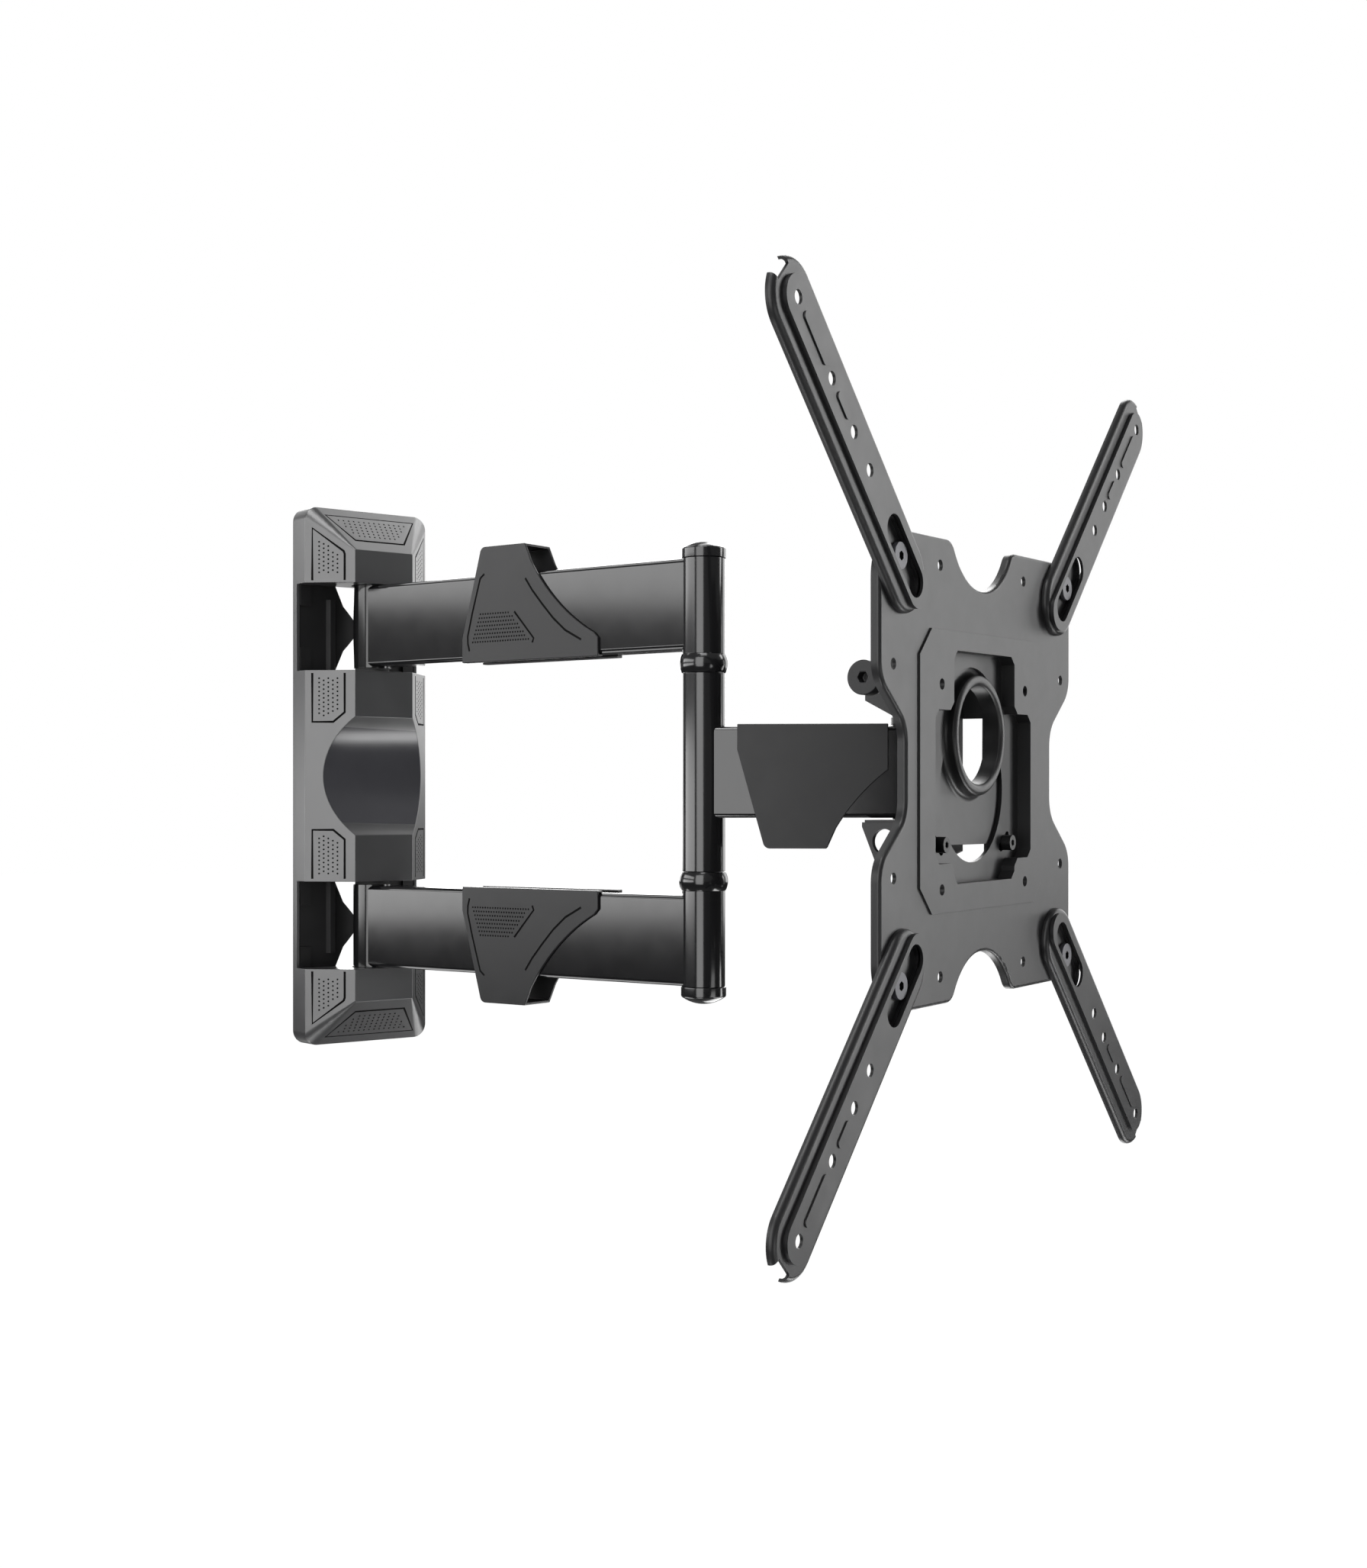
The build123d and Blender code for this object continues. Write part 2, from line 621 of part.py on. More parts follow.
def head_nut():
    """Lock nut under the yoke's lower lug."""
    top = -HEAD_LUG - YOKE_LUG_SHEET
    nut = hexagon(2 * PIN_HEAD_RADIUS, top - HEAD_NUT_HEIGHT, top)
    return nut - rod(HEAD_PIN_RADIUS, top - HEAD_NUT_HEIGHT, top)


def tilt_bracket():
    """Front plate with a rolled collar and two side flanges that carry it on the yoke."""
    face = Pos(0, (TILT_PLATE_TOP + TILT_PLATE_BOTTOM) / 2) * RectangleRounded(
        2 * TILT_PLATE_HALF_WIDTH, TILT_PLATE_TOP - TILT_PLATE_BOTTOM, TILT_PLATE_CORNER
    )
    notch_height = TILT_NOTCH_TOP - TILT_PLATE_BOTTOM
    face -= Pos(0, TILT_PLATE_BOTTOM) * Rectangle(2 * TILT_NOTCH_HALF_WIDTH, 2 * notch_height)
    face -= Pos(0, LEVEL_Z) * Circle(COLLAR_HOLE_RADIUS)
    for side in (-1, 1):
        face -= Pos(side * LEVEL_SCREW_X, LEVEL_SCREW_Z) * Circle(LEVEL_SCREW_RADIUS)
    bracket = slab(face, TILT_PLATE_BACK, TILT_PLATE_FACE)
    wall = COLLAR_RADIUS - COLLAR_HOLE_RADIUS
    lip = ThreePointArc(
        (COLLAR_HOLE_RADIUS, COLLAR_FRONT - COLLAR_LIP),
        (COLLAR_HOLE_RADIUS + wall / 2, COLLAR_FRONT),
        (COLLAR_RADIUS, COLLAR_FRONT - COLLAR_LIP),
    )
    flare = COLLAR_ROOT_RADIUS - COLLAR_RADIUS
    outside = Line((COLLAR_RADIUS, COLLAR_FRONT - COLLAR_LIP), (COLLAR_RADIUS, TILT_PLATE_FACE + flare))
    bend = flare * (1 - math.sqrt(0.5))
    root = ThreePointArc(
        (COLLAR_RADIUS, TILT_PLATE_FACE + flare),
        (COLLAR_RADIUS + bend, TILT_PLATE_FACE + bend),
        (COLLAR_ROOT_RADIUS, TILT_PLATE_FACE),
    )
    rim = Polyline(
        (COLLAR_ROOT_RADIUS, TILT_PLATE_FACE),
        (COLLAR_HOLE_RADIUS, TILT_PLATE_FACE),
        (COLLAR_HOLE_RADIUS, COLLAR_FRONT - COLLAR_LIP),
    )
    collar = revolve(Plane.XZ * make_face(lip + outside + root + rim), Axis.Z)
    bracket += Pos(0, 0, LEVEL_Z) * along_x(collar)
    front = TILT_PLATE_FACE
    pivot_x = TILT_PIVOT_X - PLATE_FROM_HEAD_PIN
    clamp_x = CLAMP_BOLT_X - PLATE_FROM_HEAD_PIN
    lower = make_face(
        Polyline(
            (front, TILT_PIVOT_Z - TILT_EAR_RADIUS),
            (pivot_x, TILT_PIVOT_Z - TILT_EAR_RADIUS),
            (pivot_x, TILT_PIVOT_Z + TILT_EAR_RADIUS / 2),
            (front, TILT_PIVOT_Z + TILT_EAR_RADIUS / 2),
            close=True,
        )
    )
    lower += Pos(pivot_x, TILT_PIVOT_Z) * Circle(TILT_EAR_RADIUS)
    lower -= Pos(pivot_x, TILT_PIVOT_Z) * Circle(TILT_PIN_RADIUS + RUNNING_FIT)
    upper = make_face(
        Polyline(
            (front, TILT_FLANGE_LOW),
            (clamp_x, TILT_FLANGE_LOW),
            (clamp_x - TILT_FLANGE_REACH, CLAMP_BOLT_Z - TILT_FLANGE_DROP),
            (clamp_x - TILT_FLANGE_REACH, CLAMP_BOLT_Z + TILT_FLANGE_RISE),
            (front, TILT_PLATE_TOP),
            close=True,
        )
    )
    slot_radius = math.hypot(clamp_x - pivot_x, CLAMP_BOLT_Z - TILT_PIVOT_Z)
    middle = math.degrees(math.atan2(CLAMP_BOLT_Z - TILT_PIVOT_Z, clamp_x - pivot_x))
    slot_wall = CLAMP_BOLT_RADIUS + SLIDE_GAP
    spread = math.degrees(CLAMP_BOLT_RADIUS / slot_radius)
    low = middle - TILT_BACK - spread
    high = middle + TILT_FORWARD + spread
    points = []
    for angle in (low, middle, high):
        turn = math.radians(angle)
        points.append((slot_radius * math.cos(turn), slot_radius * math.sin(turn)))
    slot = SlotArc(arc=ThreePointArc(*points), height=2 * slot_wall)
    upper -= Pos(pivot_x, TILT_PIVOT_Z) * slot
    strip_back = TILT_PLATE_BACK - TILT_STRIP_REACH
    strip = make_face(
        Polyline(
            (front, TILT_PIVOT_Z),
            (strip_back, TILT_PIVOT_Z),
            (strip_back, TILT_FLANGE_LOW + TILT_STRIP_REACH),
            (front, TILT_FLANGE_LOW + TILT_STRIP_REACH),
            close=True,
        )
    )
    for side in (-1, 1):
        flange = extrude(Plane.XZ * (lower + strip + upper), TILT_SHEET)
        bracket += Pos(0, TILT_FLANGE_OUTSIDE if side > 0 else -TILT_FLANGE_INSIDE, 0) * flange
    return bracket


def tilt_pin():
    """Shouldered pin on which the tilt bracket turns, headed at both ends."""
    reach = TILT_FLANGE_OUTSIDE + FACE_GAP
    pin = rod(TILT_PIN_RADIUS, -reach, reach)
    for side in (-1, 1):
        low, high = sorted((side * reach, side * (reach + TILT_PIN_HEAD_HEIGHT)))
        pin += rod(TILT_PIN_RADIUS + TILT_PIN_HEAD, low, high)
    return Pos(TILT_PIVOT_X, 0, TILT_PIVOT_Z) * along_y(pin)


def clamp_nut():
    """Nut held inside the right flange of the yoke, on the clamp bolt's end."""
    high = TILT_FLANGE_OUTSIDE + FACE_GAP
    end = high + CLAMP_NUT_HEIGHT
    nut = hexagon(CLAMP_NUT_ACROSS, high, end) - rod(CLAMP_BOLT_RADIUS + RUNNING_FIT, high, end)
    return Pos(CLAMP_BOLT_X, 0, CLAMP_BOLT_Z) * along_y(nut)


def tilt_knob():
    """Tilt knob with its stem and bolt, drawn on the bolt's own axis along Y."""
    face = -KNOB_FACE
    back = face + KNOB_LENGTH
    stem = -TILT_FLANGE_OUTSIDE - FACE_GAP
    knob = rod(KNOB_RADIUS, face, back) + rod(KNOB_STEM_RADIUS, back, stem)
    knob += rod(CLAMP_BOLT_RADIUS, stem, TILT_FLANGE_OUTSIDE + CLAMP_BOLT_PAST)
    knob -= hexagon(KNOB_SOCKET, face, face + KNOB_SOCKET_DEPTH)
    return Pos(CLAMP_BOLT_X, 0, CLAMP_BOLT_Z) * along_y(knob)


def level_screw(side):
    """Socket-head screw that clamps the screen plate once it is level."""
    head_low = RECESS_FLOOR + SLIDE_GAP
    top = head_low + LEVEL_HEAD_HEIGHT
    head = rod(LEVEL_HEAD_RADIUS, head_low, top)
    head -= hexagon(LEVEL_HEX, top - LEVEL_SOCKET_DEPTH, top)
    screw = head + rod(LEVEL_SCREW_RADIUS, TILT_PLATE_BACK - LEVEL_SCREW_PAST, head_low)
    return Pos(0, side * LEVEL_SCREW_X, LEVEL_SCREW_Z) * along_x(screw)


# Screen plate


def plate_outline(inset):
    """Square plate with rounded corners, a scallop above and below and two side waists."""
    half = PLATE_HALF - inset
    outline = RectangleRounded(2 * half, 2 * half, PLATE_CORNER - inset)
    for side in (-1, 1):
        centre = side * (SCALLOP_BOTTOM + SCALLOP_RADIUS)
        outline -= Pos(0, centre) * Circle(SCALLOP_RADIUS + inset)
        waist = side * (WAIST_HALF - inset)
        edge = side * (half + 1)
        outline -= make_face(
            Polyline(
                (waist, -WAIST_HALF_HEIGHT - inset / 2),
                (waist, WAIST_HALF_HEIGHT + inset / 2),
                (edge, WAIST_MOUTH + inset / 2),
                (edge, -WAIST_MOUTH - inset / 2),
                close=True,
            )
        )
    waists = [v for v in outline.vertices() if abs(v.Y) < abs(v.X) / 2]
    outline = fillet(waists, WAIST_FILLET)
    scallops = [v for v in outline.vertices() if abs(v.X) < abs(v.Y) / 2]
    return fillet(scallops, NOTCH_FILLET)


def recess_outline(grow):
    """Cross-shaped recess, which leaves a land for the inner hole at each corner."""
    low = RECESS_Z - RECESS_HALF_HEIGHT - grow
    high = RECESS_Z + RECESS_HALF_HEIGHT + grow
    tall = Pos(0, (low + high) / 2) * Rectangle(2 * (RECESS_LAND_X + grow), high - low)
    land_low = RECESS_LAND_LOW - grow
    land_high = RECESS_LAND_HIGH + grow
    wide = Pos(0, (land_low + land_high) / 2) * Rectangle(
        2 * (RECESS_HALF_WIDTH + grow), land_high - land_low
    )
    cross = tall + wide
    return chamfer(cross.vertices(), RECESS_CORNER)


def level_slot(side):
    """Arc slot for a levelling screw, round the collar's centre."""
    radius = math.hypot(LEVEL_SCREW_X, LEVEL_SCREW_Z - LEVEL_Z)
    middle = math.degrees(math.atan2(LEVEL_SCREW_Z - LEVEL_Z, side * LEVEL_SCREW_X))
    spread = LEVEL_RANGE + LEVEL_SLOT_END
    points = []
    for step in (-1, 0, 1):
        angle = math.radians(middle + step * spread)
        points.append((radius * math.cos(angle), radius * math.sin(angle)))
    return Pos(0, LEVEL_Z) * SlotArc(arc=ThreePointArc(*points), height=2 * LEVEL_SLOT_RADIUS)


def screen_plate():
    """Pressed plate: turned-back rim, raised field, cross recess and round opening."""
    field = make_face(
        Polyline(
            (-RAISED_HALF_WIDTH, -RAISED_HALF_HEIGHT + RAISED_CHAMFER),
            (-RAISED_HALF_WIDTH, RAISED_HALF_HEIGHT - RAISED_CHAMFER),
            (-RAISED_HALF_WIDTH + RAISED_CHAMFER, RAISED_HALF_HEIGHT),
            (RAISED_HALF_WIDTH - RAISED_CHAMFER, RAISED_HALF_HEIGHT),
            (RAISED_HALF_WIDTH, RAISED_HALF_HEIGHT - RAISED_CHAMFER),
            (RAISED_HALF_WIDTH, -RAISED_HALF_HEIGHT + RAISED_CHAMFER),
            (RAISED_HALF_WIDTH - RAISED_CHAMFER, -RAISED_HALF_HEIGHT),
            (-RAISED_HALF_WIDTH + RAISED_CHAMFER, -RAISED_HALF_HEIGHT),
            close=True,
        )
    )
    floor_back = RECESS_FLOOR - SHEET
    sheet = slab(plate_outline(0), PLATE_RIM_BACK, PLATE_FACE)
    sheet = fillet(sheet.faces().sort_by(Axis.X)[-1].edges(), RIM_BEND)
    plate = sheet + slab(field, PLATE_FACE, PLATE_RAISED)
    plate -= slab(plate_outline(SHEET), PLATE_RIM_BACK, RAISED_BACK)
    plate += slab(recess_outline(SHEET), floor_back, PLATE_FACE)
    plate -= slab(recess_outline(0), RECESS_FLOOR, PLATE_RAISED)
    openings = Pos(0, LEVEL_Z) * Circle(COLLAR_ROOT_RADIUS + COLLAR_GAP)
    openings += Pos(0, OPENING_Z) * Circle(OPENING_RADIUS)
    for side in (-1, 1):
        openings += level_slot(side)
    plate -= slab(openings, floor_back, RECESS_FLOOR)
    holes = []
    for y in (-1, 1):
        for z in (-1, 1):
            holes.append((y * INNER_HOLE, INNER_HOLE_Z + z * INNER_HOLE, SCREEN_HOLE_RADIUS))
            holes.append((y * INNER_HOLE, z * OUTER_HOLE, SCREEN_HOLE_RADIUS))
            holes.append((y * OUTER_HOLE, z * INNER_HOLE, SCREEN_HOLE_RADIUS))
            holes.append((y * PIVOT, z * PIVOT, PIVOT_BOLT_RADIUS))
            holes.append((y * STOP_HOLE, z * STOP_HOLE, STOP_HOLE_RADIUS))
    for y, z, radius in holes:
        plate -= slab(Pos(y, z) * Circle(radius), floor_back, PLATE_RAISED)
    return plate


def spider_outline(inset):
    """Outline of an arm along X, from the tail behind the pivot to the round tip."""
    half = SPIDER_HALF_WIDTH - inset
    tip = SPIDER_TIP_HOLE
    tail = -SPIDER_TAIL + inset + half
    body = Pos((tip + tail) / 2, 0) * Rectangle(tip - tail, 2 * half)
    return body + Pos(tip, 0) * Circle(half) + Pos(tail, 0) * Circle(half)


def spider_strip(inset):
    """Raised strip along the middle of an arm."""
    half = SPIDER_STRIP_HALF_WIDTH - inset
    tip = SPIDER_TIP_HOLE
    tail = -SPIDER_TAIL + inset + half
    body = Pos((tip + tail) / 2, 0) * Rectangle(tip - tail, 2 * half)
    return body + Pos(tip, 0) * Circle(half) + Pos(tail, 0) * Circle(half)


def spider_arm():
    """Pressed channel arm with a raised strip, ribs, a pivot pocket and screen holes."""
    shoulder = -SPIDER_STEP
    arm = Pos(0, 0, SPIDER_BACK) * extrude(spider_outline(0), shoulder - SPIDER_BACK)
    arm = fillet(arm.faces().sort_by(Axis.Z)[-1].edges(), SPIDER_BEND)
    arm += Pos(0, 0, shoulder) * extrude(spider_strip(0), SPIDER_STEP)
    under = shoulder - SPIDER_SHEET
    inside = Pos(0, 0, SPIDER_BACK) * extrude(spider_outline(SPIDER_SHEET), under - SPIDER_BACK)
    arm -= fillet(inside.faces().sort_by(Axis.Z)[-1].edges(), SPIDER_INNER_BEND)
    arm -= Pos(0, 0, under) * extrude(spider_strip(SPIDER_SHEET), SPIDER_STEP)
    pocket = SlotOverall(2 * SPIDER_POCKET_HALF_LENGTH, 2 * SPIDER_POCKET_HALF_WIDTH)
    pan = SlotOverall(
        2 * (SPIDER_POCKET_HALF_LENGTH + SPIDER_SHEET), 2 * (SPIDER_POCKET_HALF_WIDTH + SPIDER_SHEET)
    )
    pan_top = under + SPIDER_SHEET / 2
    arm += Pos(SPIDER_POCKET_SHIFT, 0, SPIDER_BACK) * extrude(pan, pan_top - SPIDER_BACK)
    arm -= Pos(SPIDER_POCKET_SHIFT, 0, SPIDER_POCKET_FLOOR) * extrude(pocket, -SPIDER_POCKET_FLOOR + 1)
    ribs = ((SPIDER_SECOND_HOLE, SPIDER_THIRD_HOLE), (SPIDER_THIRD_HOLE, SPIDER_TIP_HOLE))
    for start, end in ribs:
        rib = SlotOverall(end - start - 2 * SPIDER_RIB_MARGIN, 2 * SPIDER_RIB_HALF_WIDTH)
        arm += Pos((start + end) / 2, 0, -SPIDER_SHEET / 2) * extrude(
            rib, SPIDER_SHEET / 2 + SPIDER_RIB_RISE
        )
    relief = SPIDER_TIP_HOLE + SPIDER_RELIEF_START
    past = SPIDER_TIP_HOLE + SPIDER_HALF_WIDTH + 1
    half = SPIDER_RELIEF_HALF_WIDTH
    arm -= block(relief, past, -half, half, SPIDER_BACK, shoulder)
    for distance in (SPIDER_FIRST_HOLE, SPIDER_SECOND_HOLE, SPIDER_THIRD_HOLE, SPIDER_TIP_HOLE):
        arm -= Pos(distance, 0, 0) * rod(SPIDER_HOLE_RADIUS, SPIDER_BACK, 1)
    return arm - rod(PIVOT_BOLT_RADIUS + RUNNING_FIT, SPIDER_BACK, 0)


def pivot_bolt():
    """Round-headed bolt of a spider arm's pivot, along Z from the screen's plane."""
    seat = SPIDER_POCKET_FLOOR + SLIDE_GAP
    bolt = rod(PIVOT_BOLT_RADIUS, RAISED_BACK - PIVOT_NUT_HEIGHT - PIVOT_BOLT_PAST, seat)
    return bolt + rod(PIVOT_HEAD_RADIUS, seat, seat + PIVOT_HEAD_HEIGHT)


def pivot_nut():
    """Nut behind the plate on a spider arm's pivot bolt."""
    nut = hexagon(PIVOT_NUT_ACROSS, RAISED_BACK - PIVOT_NUT_HEIGHT, RAISED_BACK)
    return nut - rod(PIVOT_BOLT_RADIUS, RAISED_BACK - PIVOT_NUT_HEIGHT, RAISED_BACK)


# The whole mount, each piece on the frame of the body that carries it

pieces = {}


def place(name, frame, shape):
    """Keep a piece under its name, moved from its own frame to the mount's."""
    pieces[name] = frame * shape


HINGE = Location((0, -HINGE_FROM_WALL, 0))
FLIP = Rot(180, 0, 0)

place("wall_bracket", WALL, wall_bracket())
place("wall_cover", WALL, wall_cover())
for level, side in (("upper", 1), ("lower", -1)):
    turn = Pos(0, 0, side * REAR_ARM_Z)
    if side < 0:
        turn = turn * FLIP
    place(f"{level}_hinge_pin", HINGE * turn, hinge_pin())
    place(f"{level}_hinge_spacer", HINGE * turn, hinge_spacer())
    place(f"{level}_hinge_bushes", REAR * turn, bush_pair(HINGE_PIN_RADIUS, HINGE_SLEEVE_HALF, BUSH_LENGTH))
    place(f"{level}_hinge_sleeve", REAR * turn, hinge_sleeve())
    place(
        f"{level}_rear_arm",
        REAR * turn,
        arm_tube(REAR_ARM_LENGTH, HINGE_SLEEVE_RADIUS, POST_RADIUS, ARM_HEIGHT),
    )
    place(f"{level}_cable_clip", REAR * turn * Pos(CLIP_START, 0, 0), cable_clip(CLIP_LENGTH))
    end = REAR * Pos(REAR_ARM_LENGTH, 0, 0)
    if side < 0:
        end = end * FLIP
    place(f"{level}_post_tube", end, rear_post_tube())
    place(f"{level}_post_ring", end, post_ring())
    place(f"{level}_post_cap", end, post_cap())
place("post_pin", REAR * Pos(REAR_ARM_LENGTH, 0, 0), post_pin())

place("middle_post_tube", FRONT, front_post_tube())
middle_half = POST_RING_LOW - FACE_GAP
post_bore = POST_PIN_RADIUS + RUNNING_FIT
middle_bush = ring(POST_PIN_RADIUS + BUSH_WALL, post_bore, middle_half - POST_BUSH_LENGTH, middle_half)
place("middle_post_bushes", FRONT, middle_bush + mirror(middle_bush, Plane.XY))
place(
    "front_arm",
    FRONT,
    arm_tube(FRONT_ARM_LENGTH, POST_RADIUS, HEAD_SLEEVE_RADIUS, ARM_HEIGHT),
)
head_bore = HEAD_PIN_RADIUS + BUSH_WALL
head_sleeve = ring(HEAD_SLEEVE_RADIUS, head_bore, -ARM_HEIGHT / 2, ARM_HEIGHT / 2)
HEAD_PIVOT = FRONT * Pos(FRONT_ARM_LENGTH, 0, 0)
place("head_sleeve", HEAD_PIVOT, head_sleeve)
place("head_bushes", HEAD_PIVOT, bush_pair(HEAD_PIN_RADIUS, ARM_HEIGHT / 2, BUSH_LENGTH))
place("front_cable_clip", FRONT * Pos(FRONT_CLIP_START, 0, 0) * FLIP, cable_clip(FRONT_CLIP_LENGTH))

place("head_yoke", HEAD, head_yoke())
place("head_pin", HEAD, head_pin())
place("head_nut", HEAD, head_nut())
place("tilt_pin", HEAD, tilt_pin())
place("tilt_knob", HEAD, tilt_knob())
place("clamp_nut", HEAD, clamp_nut())

place("tilt_bracket", TILT, tilt_bracket())
place("left_level_screw", TILT, level_screw(-1))
place("right_level_screw", TILT, level_screw(1))

place("screen_plate", PLATE, screen_plate())
corners = {
    "upper_right": (1, 1),
    "upper_left": (-1, 1),
    "lower_left": (-1, -1),
    "lower_right": (1, -1),
}
for corner, (y_side, z_side) in corners.items():
    outward = math.degrees(math.atan2(z_side, y_side))
    pivot_frame = PLATE * Pos(0, y_side * PIVOT, z_side * PIVOT) * Rot(outward, 0, 0)
    flat_frame = pivot_frame * Location(Plane((0, 0, 0), x_dir=(0, 1, 0), z_dir=(1, 0, 0)))
    place(f"{corner}_spider_arm", flat_frame, spider_arm())
    place(f"{corner}_pivot_bolt", flat_frame, pivot_bolt())
    place(f"{corner}_pivot_nut", flat_frame, pivot_nut())

for name, shape in pieces.items():
    export_step(shape, f"parts/{name}.step")
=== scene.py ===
"""A full-motion wall mount for a flat screen, dressed over its solid model."""

import json
import logging
import math
from dataclasses import dataclass, field
from enum import Enum

import bmesh
import bpy
from mathutils import Matrix, Vector


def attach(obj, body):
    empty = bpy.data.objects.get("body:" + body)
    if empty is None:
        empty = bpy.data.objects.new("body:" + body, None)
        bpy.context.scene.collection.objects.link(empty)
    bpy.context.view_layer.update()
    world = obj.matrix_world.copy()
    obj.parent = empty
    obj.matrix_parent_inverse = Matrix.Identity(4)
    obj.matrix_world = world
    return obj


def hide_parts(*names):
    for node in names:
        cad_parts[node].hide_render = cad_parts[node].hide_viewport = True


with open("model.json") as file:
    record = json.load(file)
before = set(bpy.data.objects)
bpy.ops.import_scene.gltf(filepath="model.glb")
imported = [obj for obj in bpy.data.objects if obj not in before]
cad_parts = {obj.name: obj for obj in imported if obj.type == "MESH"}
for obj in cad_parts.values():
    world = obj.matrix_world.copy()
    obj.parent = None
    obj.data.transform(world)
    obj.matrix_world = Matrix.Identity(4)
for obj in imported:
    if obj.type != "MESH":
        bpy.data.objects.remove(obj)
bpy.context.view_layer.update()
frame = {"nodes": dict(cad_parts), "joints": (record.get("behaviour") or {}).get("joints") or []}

MM = 0.001
WELD_MM = 0.002
FLAT_DEGREES = 0.6
SOFTEN_DEGREES = 28.0
SHARP_DEGREES = 32.0
# Edge width of a piece whose solid has its rounded edges already.
AS_MODELLED = 0.0
WHITE = "#ffffff"
LOG = logging.getLogger("mount")


# Small tools


def linear(hex_colour: str) -> tuple:
    """Turns an sRGB hex colour into linear light.

    Args:
        hex_colour: Six hexadecimal digits after a hash sign.

    Returns:
        Red, green, blue and a full alpha, each from 0 to 1.
    """
    parts = [int(hex_colour[i : i + 2], 16) / 255 for i in (1, 3, 5)]
    light = [p / 12.92 if p <= 0.04045 else ((p + 0.055) / 1.055) ** 2.4 for p in parts]
    return (*light, 1.0)


def add_node(
    tree: bpy.types.NodeTree, kind: str, settings: dict | None = None, links: dict | None = None
) -> bpy.types.Node:
    """Adds one node with its settings and its incoming links.

    Args:
        tree: Node tree that gets the node.
        kind: Blender's name for the node's type.
        settings: Values by input name or number, or by property name where no input has it.
        links: Output sockets by the name or number of the input that they feed.

    Returns:
        The new node.
    """
    node = tree.nodes.new(kind)
    for key, value in (settings or {}).items():
        if isinstance(key, int) or key in node.inputs:
            node.inputs[key].default_value = value
        else:
            setattr(node, key, value)
    for key, socket in (links or {}).items():
        tree.links.new(socket, node.inputs[key])
    return node


def joint(name: str) -> tuple:
    """Gives a joint's position in metres and its axis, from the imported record."""
    row = next(j for j in frame["joints"] if j["name"] == name)
    return Vector(row.get("pos_m", (0, 0, 0))), Vector(row["axis"]).normalized()


@dataclass(frozen=True)
class Place:
    """A local frame: where it is and which way its own directions point."""

    origin: Vector
    forward: Vector
    right: Vector
    up: Vector

    def at(self, forward: float, right: float, up: float) -> Vector:
        """Turns local millimetres into a point in the object's frame."""
        offset = self.forward * forward + self.right * right + self.up * up
        return self.origin + offset * MM

    def matrix(self, forward: float, right: float, up: float) -> Matrix:
        """Gives the matrix that carries a mesh at local millimetres to the object's frame."""
        turn = Matrix((self.forward, self.right, self.up)).transposed().to_4x4()
        return Matrix.Translation(self.at(forward, right, up)) @ turn


def upright_place(origin: Vector, forward: Vector) -> Place:
    """Makes a frame that stands upright and looks along a level direction."""
    up = Vector((0, 0, 1))
    return Place(origin, forward, up.cross(forward), up)


def along(start: str, end: str) -> Place:
    """Makes the frame of an arm that runs from one swivel to another.

    Args:
        start: Joint at the arm's wall end.
        end: Joint at its other end.

    Returns:
        An upright frame at mid height that looks along the arm.
    """
    a, b = joint(start)[0].copy(), joint(end)[0].copy()
    a.z = b.z = 0.0
    return upright_place(a, (b - a).normalized())


def plate_place() -> Place:
    """Makes the frame of the screen plate.

    Returns:
        A frame in the middle of the spider pivots that looks along the levelling axis.
    """
    forward = joint("level_turn")[1]
    corners = [joint(f"{c}_spider_turn")[0] for c in ("upper_right", "upper_left", "lower_left")]
    right = (corners[0] - corners[1]).normalized()
    middle = (corners[0] + corners[2]) / 2
    return Place(middle, forward, right, forward.cross(right))


REAR = along("wall_swivel", "post_swivel")
PLATE = plate_place()


# Finishes


@dataclass(frozen=True)
class Finish:
    """One finish, or the painted recess shade, and the numbers that give its look."""

    name: str
    colour: str
    roughness: float
    spread: float
    grain_mm: float
    grain_depth_mm: float
    mottle_mm: float = 14.0
    mottle: float = 0.06
    metallic: float = 0.0
    specular: float = 0.5

    def material(self) -> bpy.types.Material:
        """Builds the finish once and gives the same material each later time.

        Returns:
            The material that carries this finish.
        """
        made = bpy.data.materials.get(self.name)
        if made:
            return made
        made = bpy.data.materials.new(self.name)
        made.use_nodes = True
        tree = made.node_tree
        tree.nodes.clear()
        place = add_node(tree, "ShaderNodeTexCoord").outputs["Object"]
        grain = add_node(
            tree,
            "ShaderNodeTexNoise",
            {"Scale": 1 / (self.grain_mm * MM), "Detail": 3.0, "Roughness": 0.55},
            {"Vector": place},
        )
        mottle = add_node(
            tree,
            "ShaderNodeTexNoise",
            {"Scale": 1 / (self.mottle_mm * MM), "Detail": 4.0, "Roughness": 0.6},
            {"Vector": place},
        )
        base = linear(self.colour)
        dark = tuple(c * (1 - self.mottle) for c in base[:3]) + (1.0,)
        light = tuple(c * (1 + self.mottle) for c in base[:3]) + (1.0,)
        colour = add_node(
            tree,
            "ShaderNodeMix",
            {"data_type": "RGBA", 6: dark, 7: light},
            {0: mottle.outputs["Fac"]},
        )
        rough = add_node(
            tree,
            "ShaderNodeMapRange",
            {
                "From Min": 0.3,
                "From Max": 0.7,
                "To Min": self.roughness - self.spread,
                "To Max": self.roughness + self.spread,
            },
            {"Value": mottle.outputs["Fac"]},
        )
        bump = add_node(
            tree,
            "ShaderNodeBump",
            {"Strength": 0.6, "Distance": self.grain_depth_mm * MM},
            {"Height": grain.outputs["Fac"]},
        )
        shader = add_node(
            tree,
            "ShaderNodeBsdfPrincipled",
            {"Metallic": self.metallic, "Specular IOR Level": self.specular},
            {
                "Base Color": colour.outputs[2],
                "Roughness": rough.outputs["Result"],
                "Normal": bump.outputs["Normal"],
            },
        )
        add_node(tree, "ShaderNodeOutputMaterial", {}, {"Surface": shader.outputs["BSDF"]})
        return made


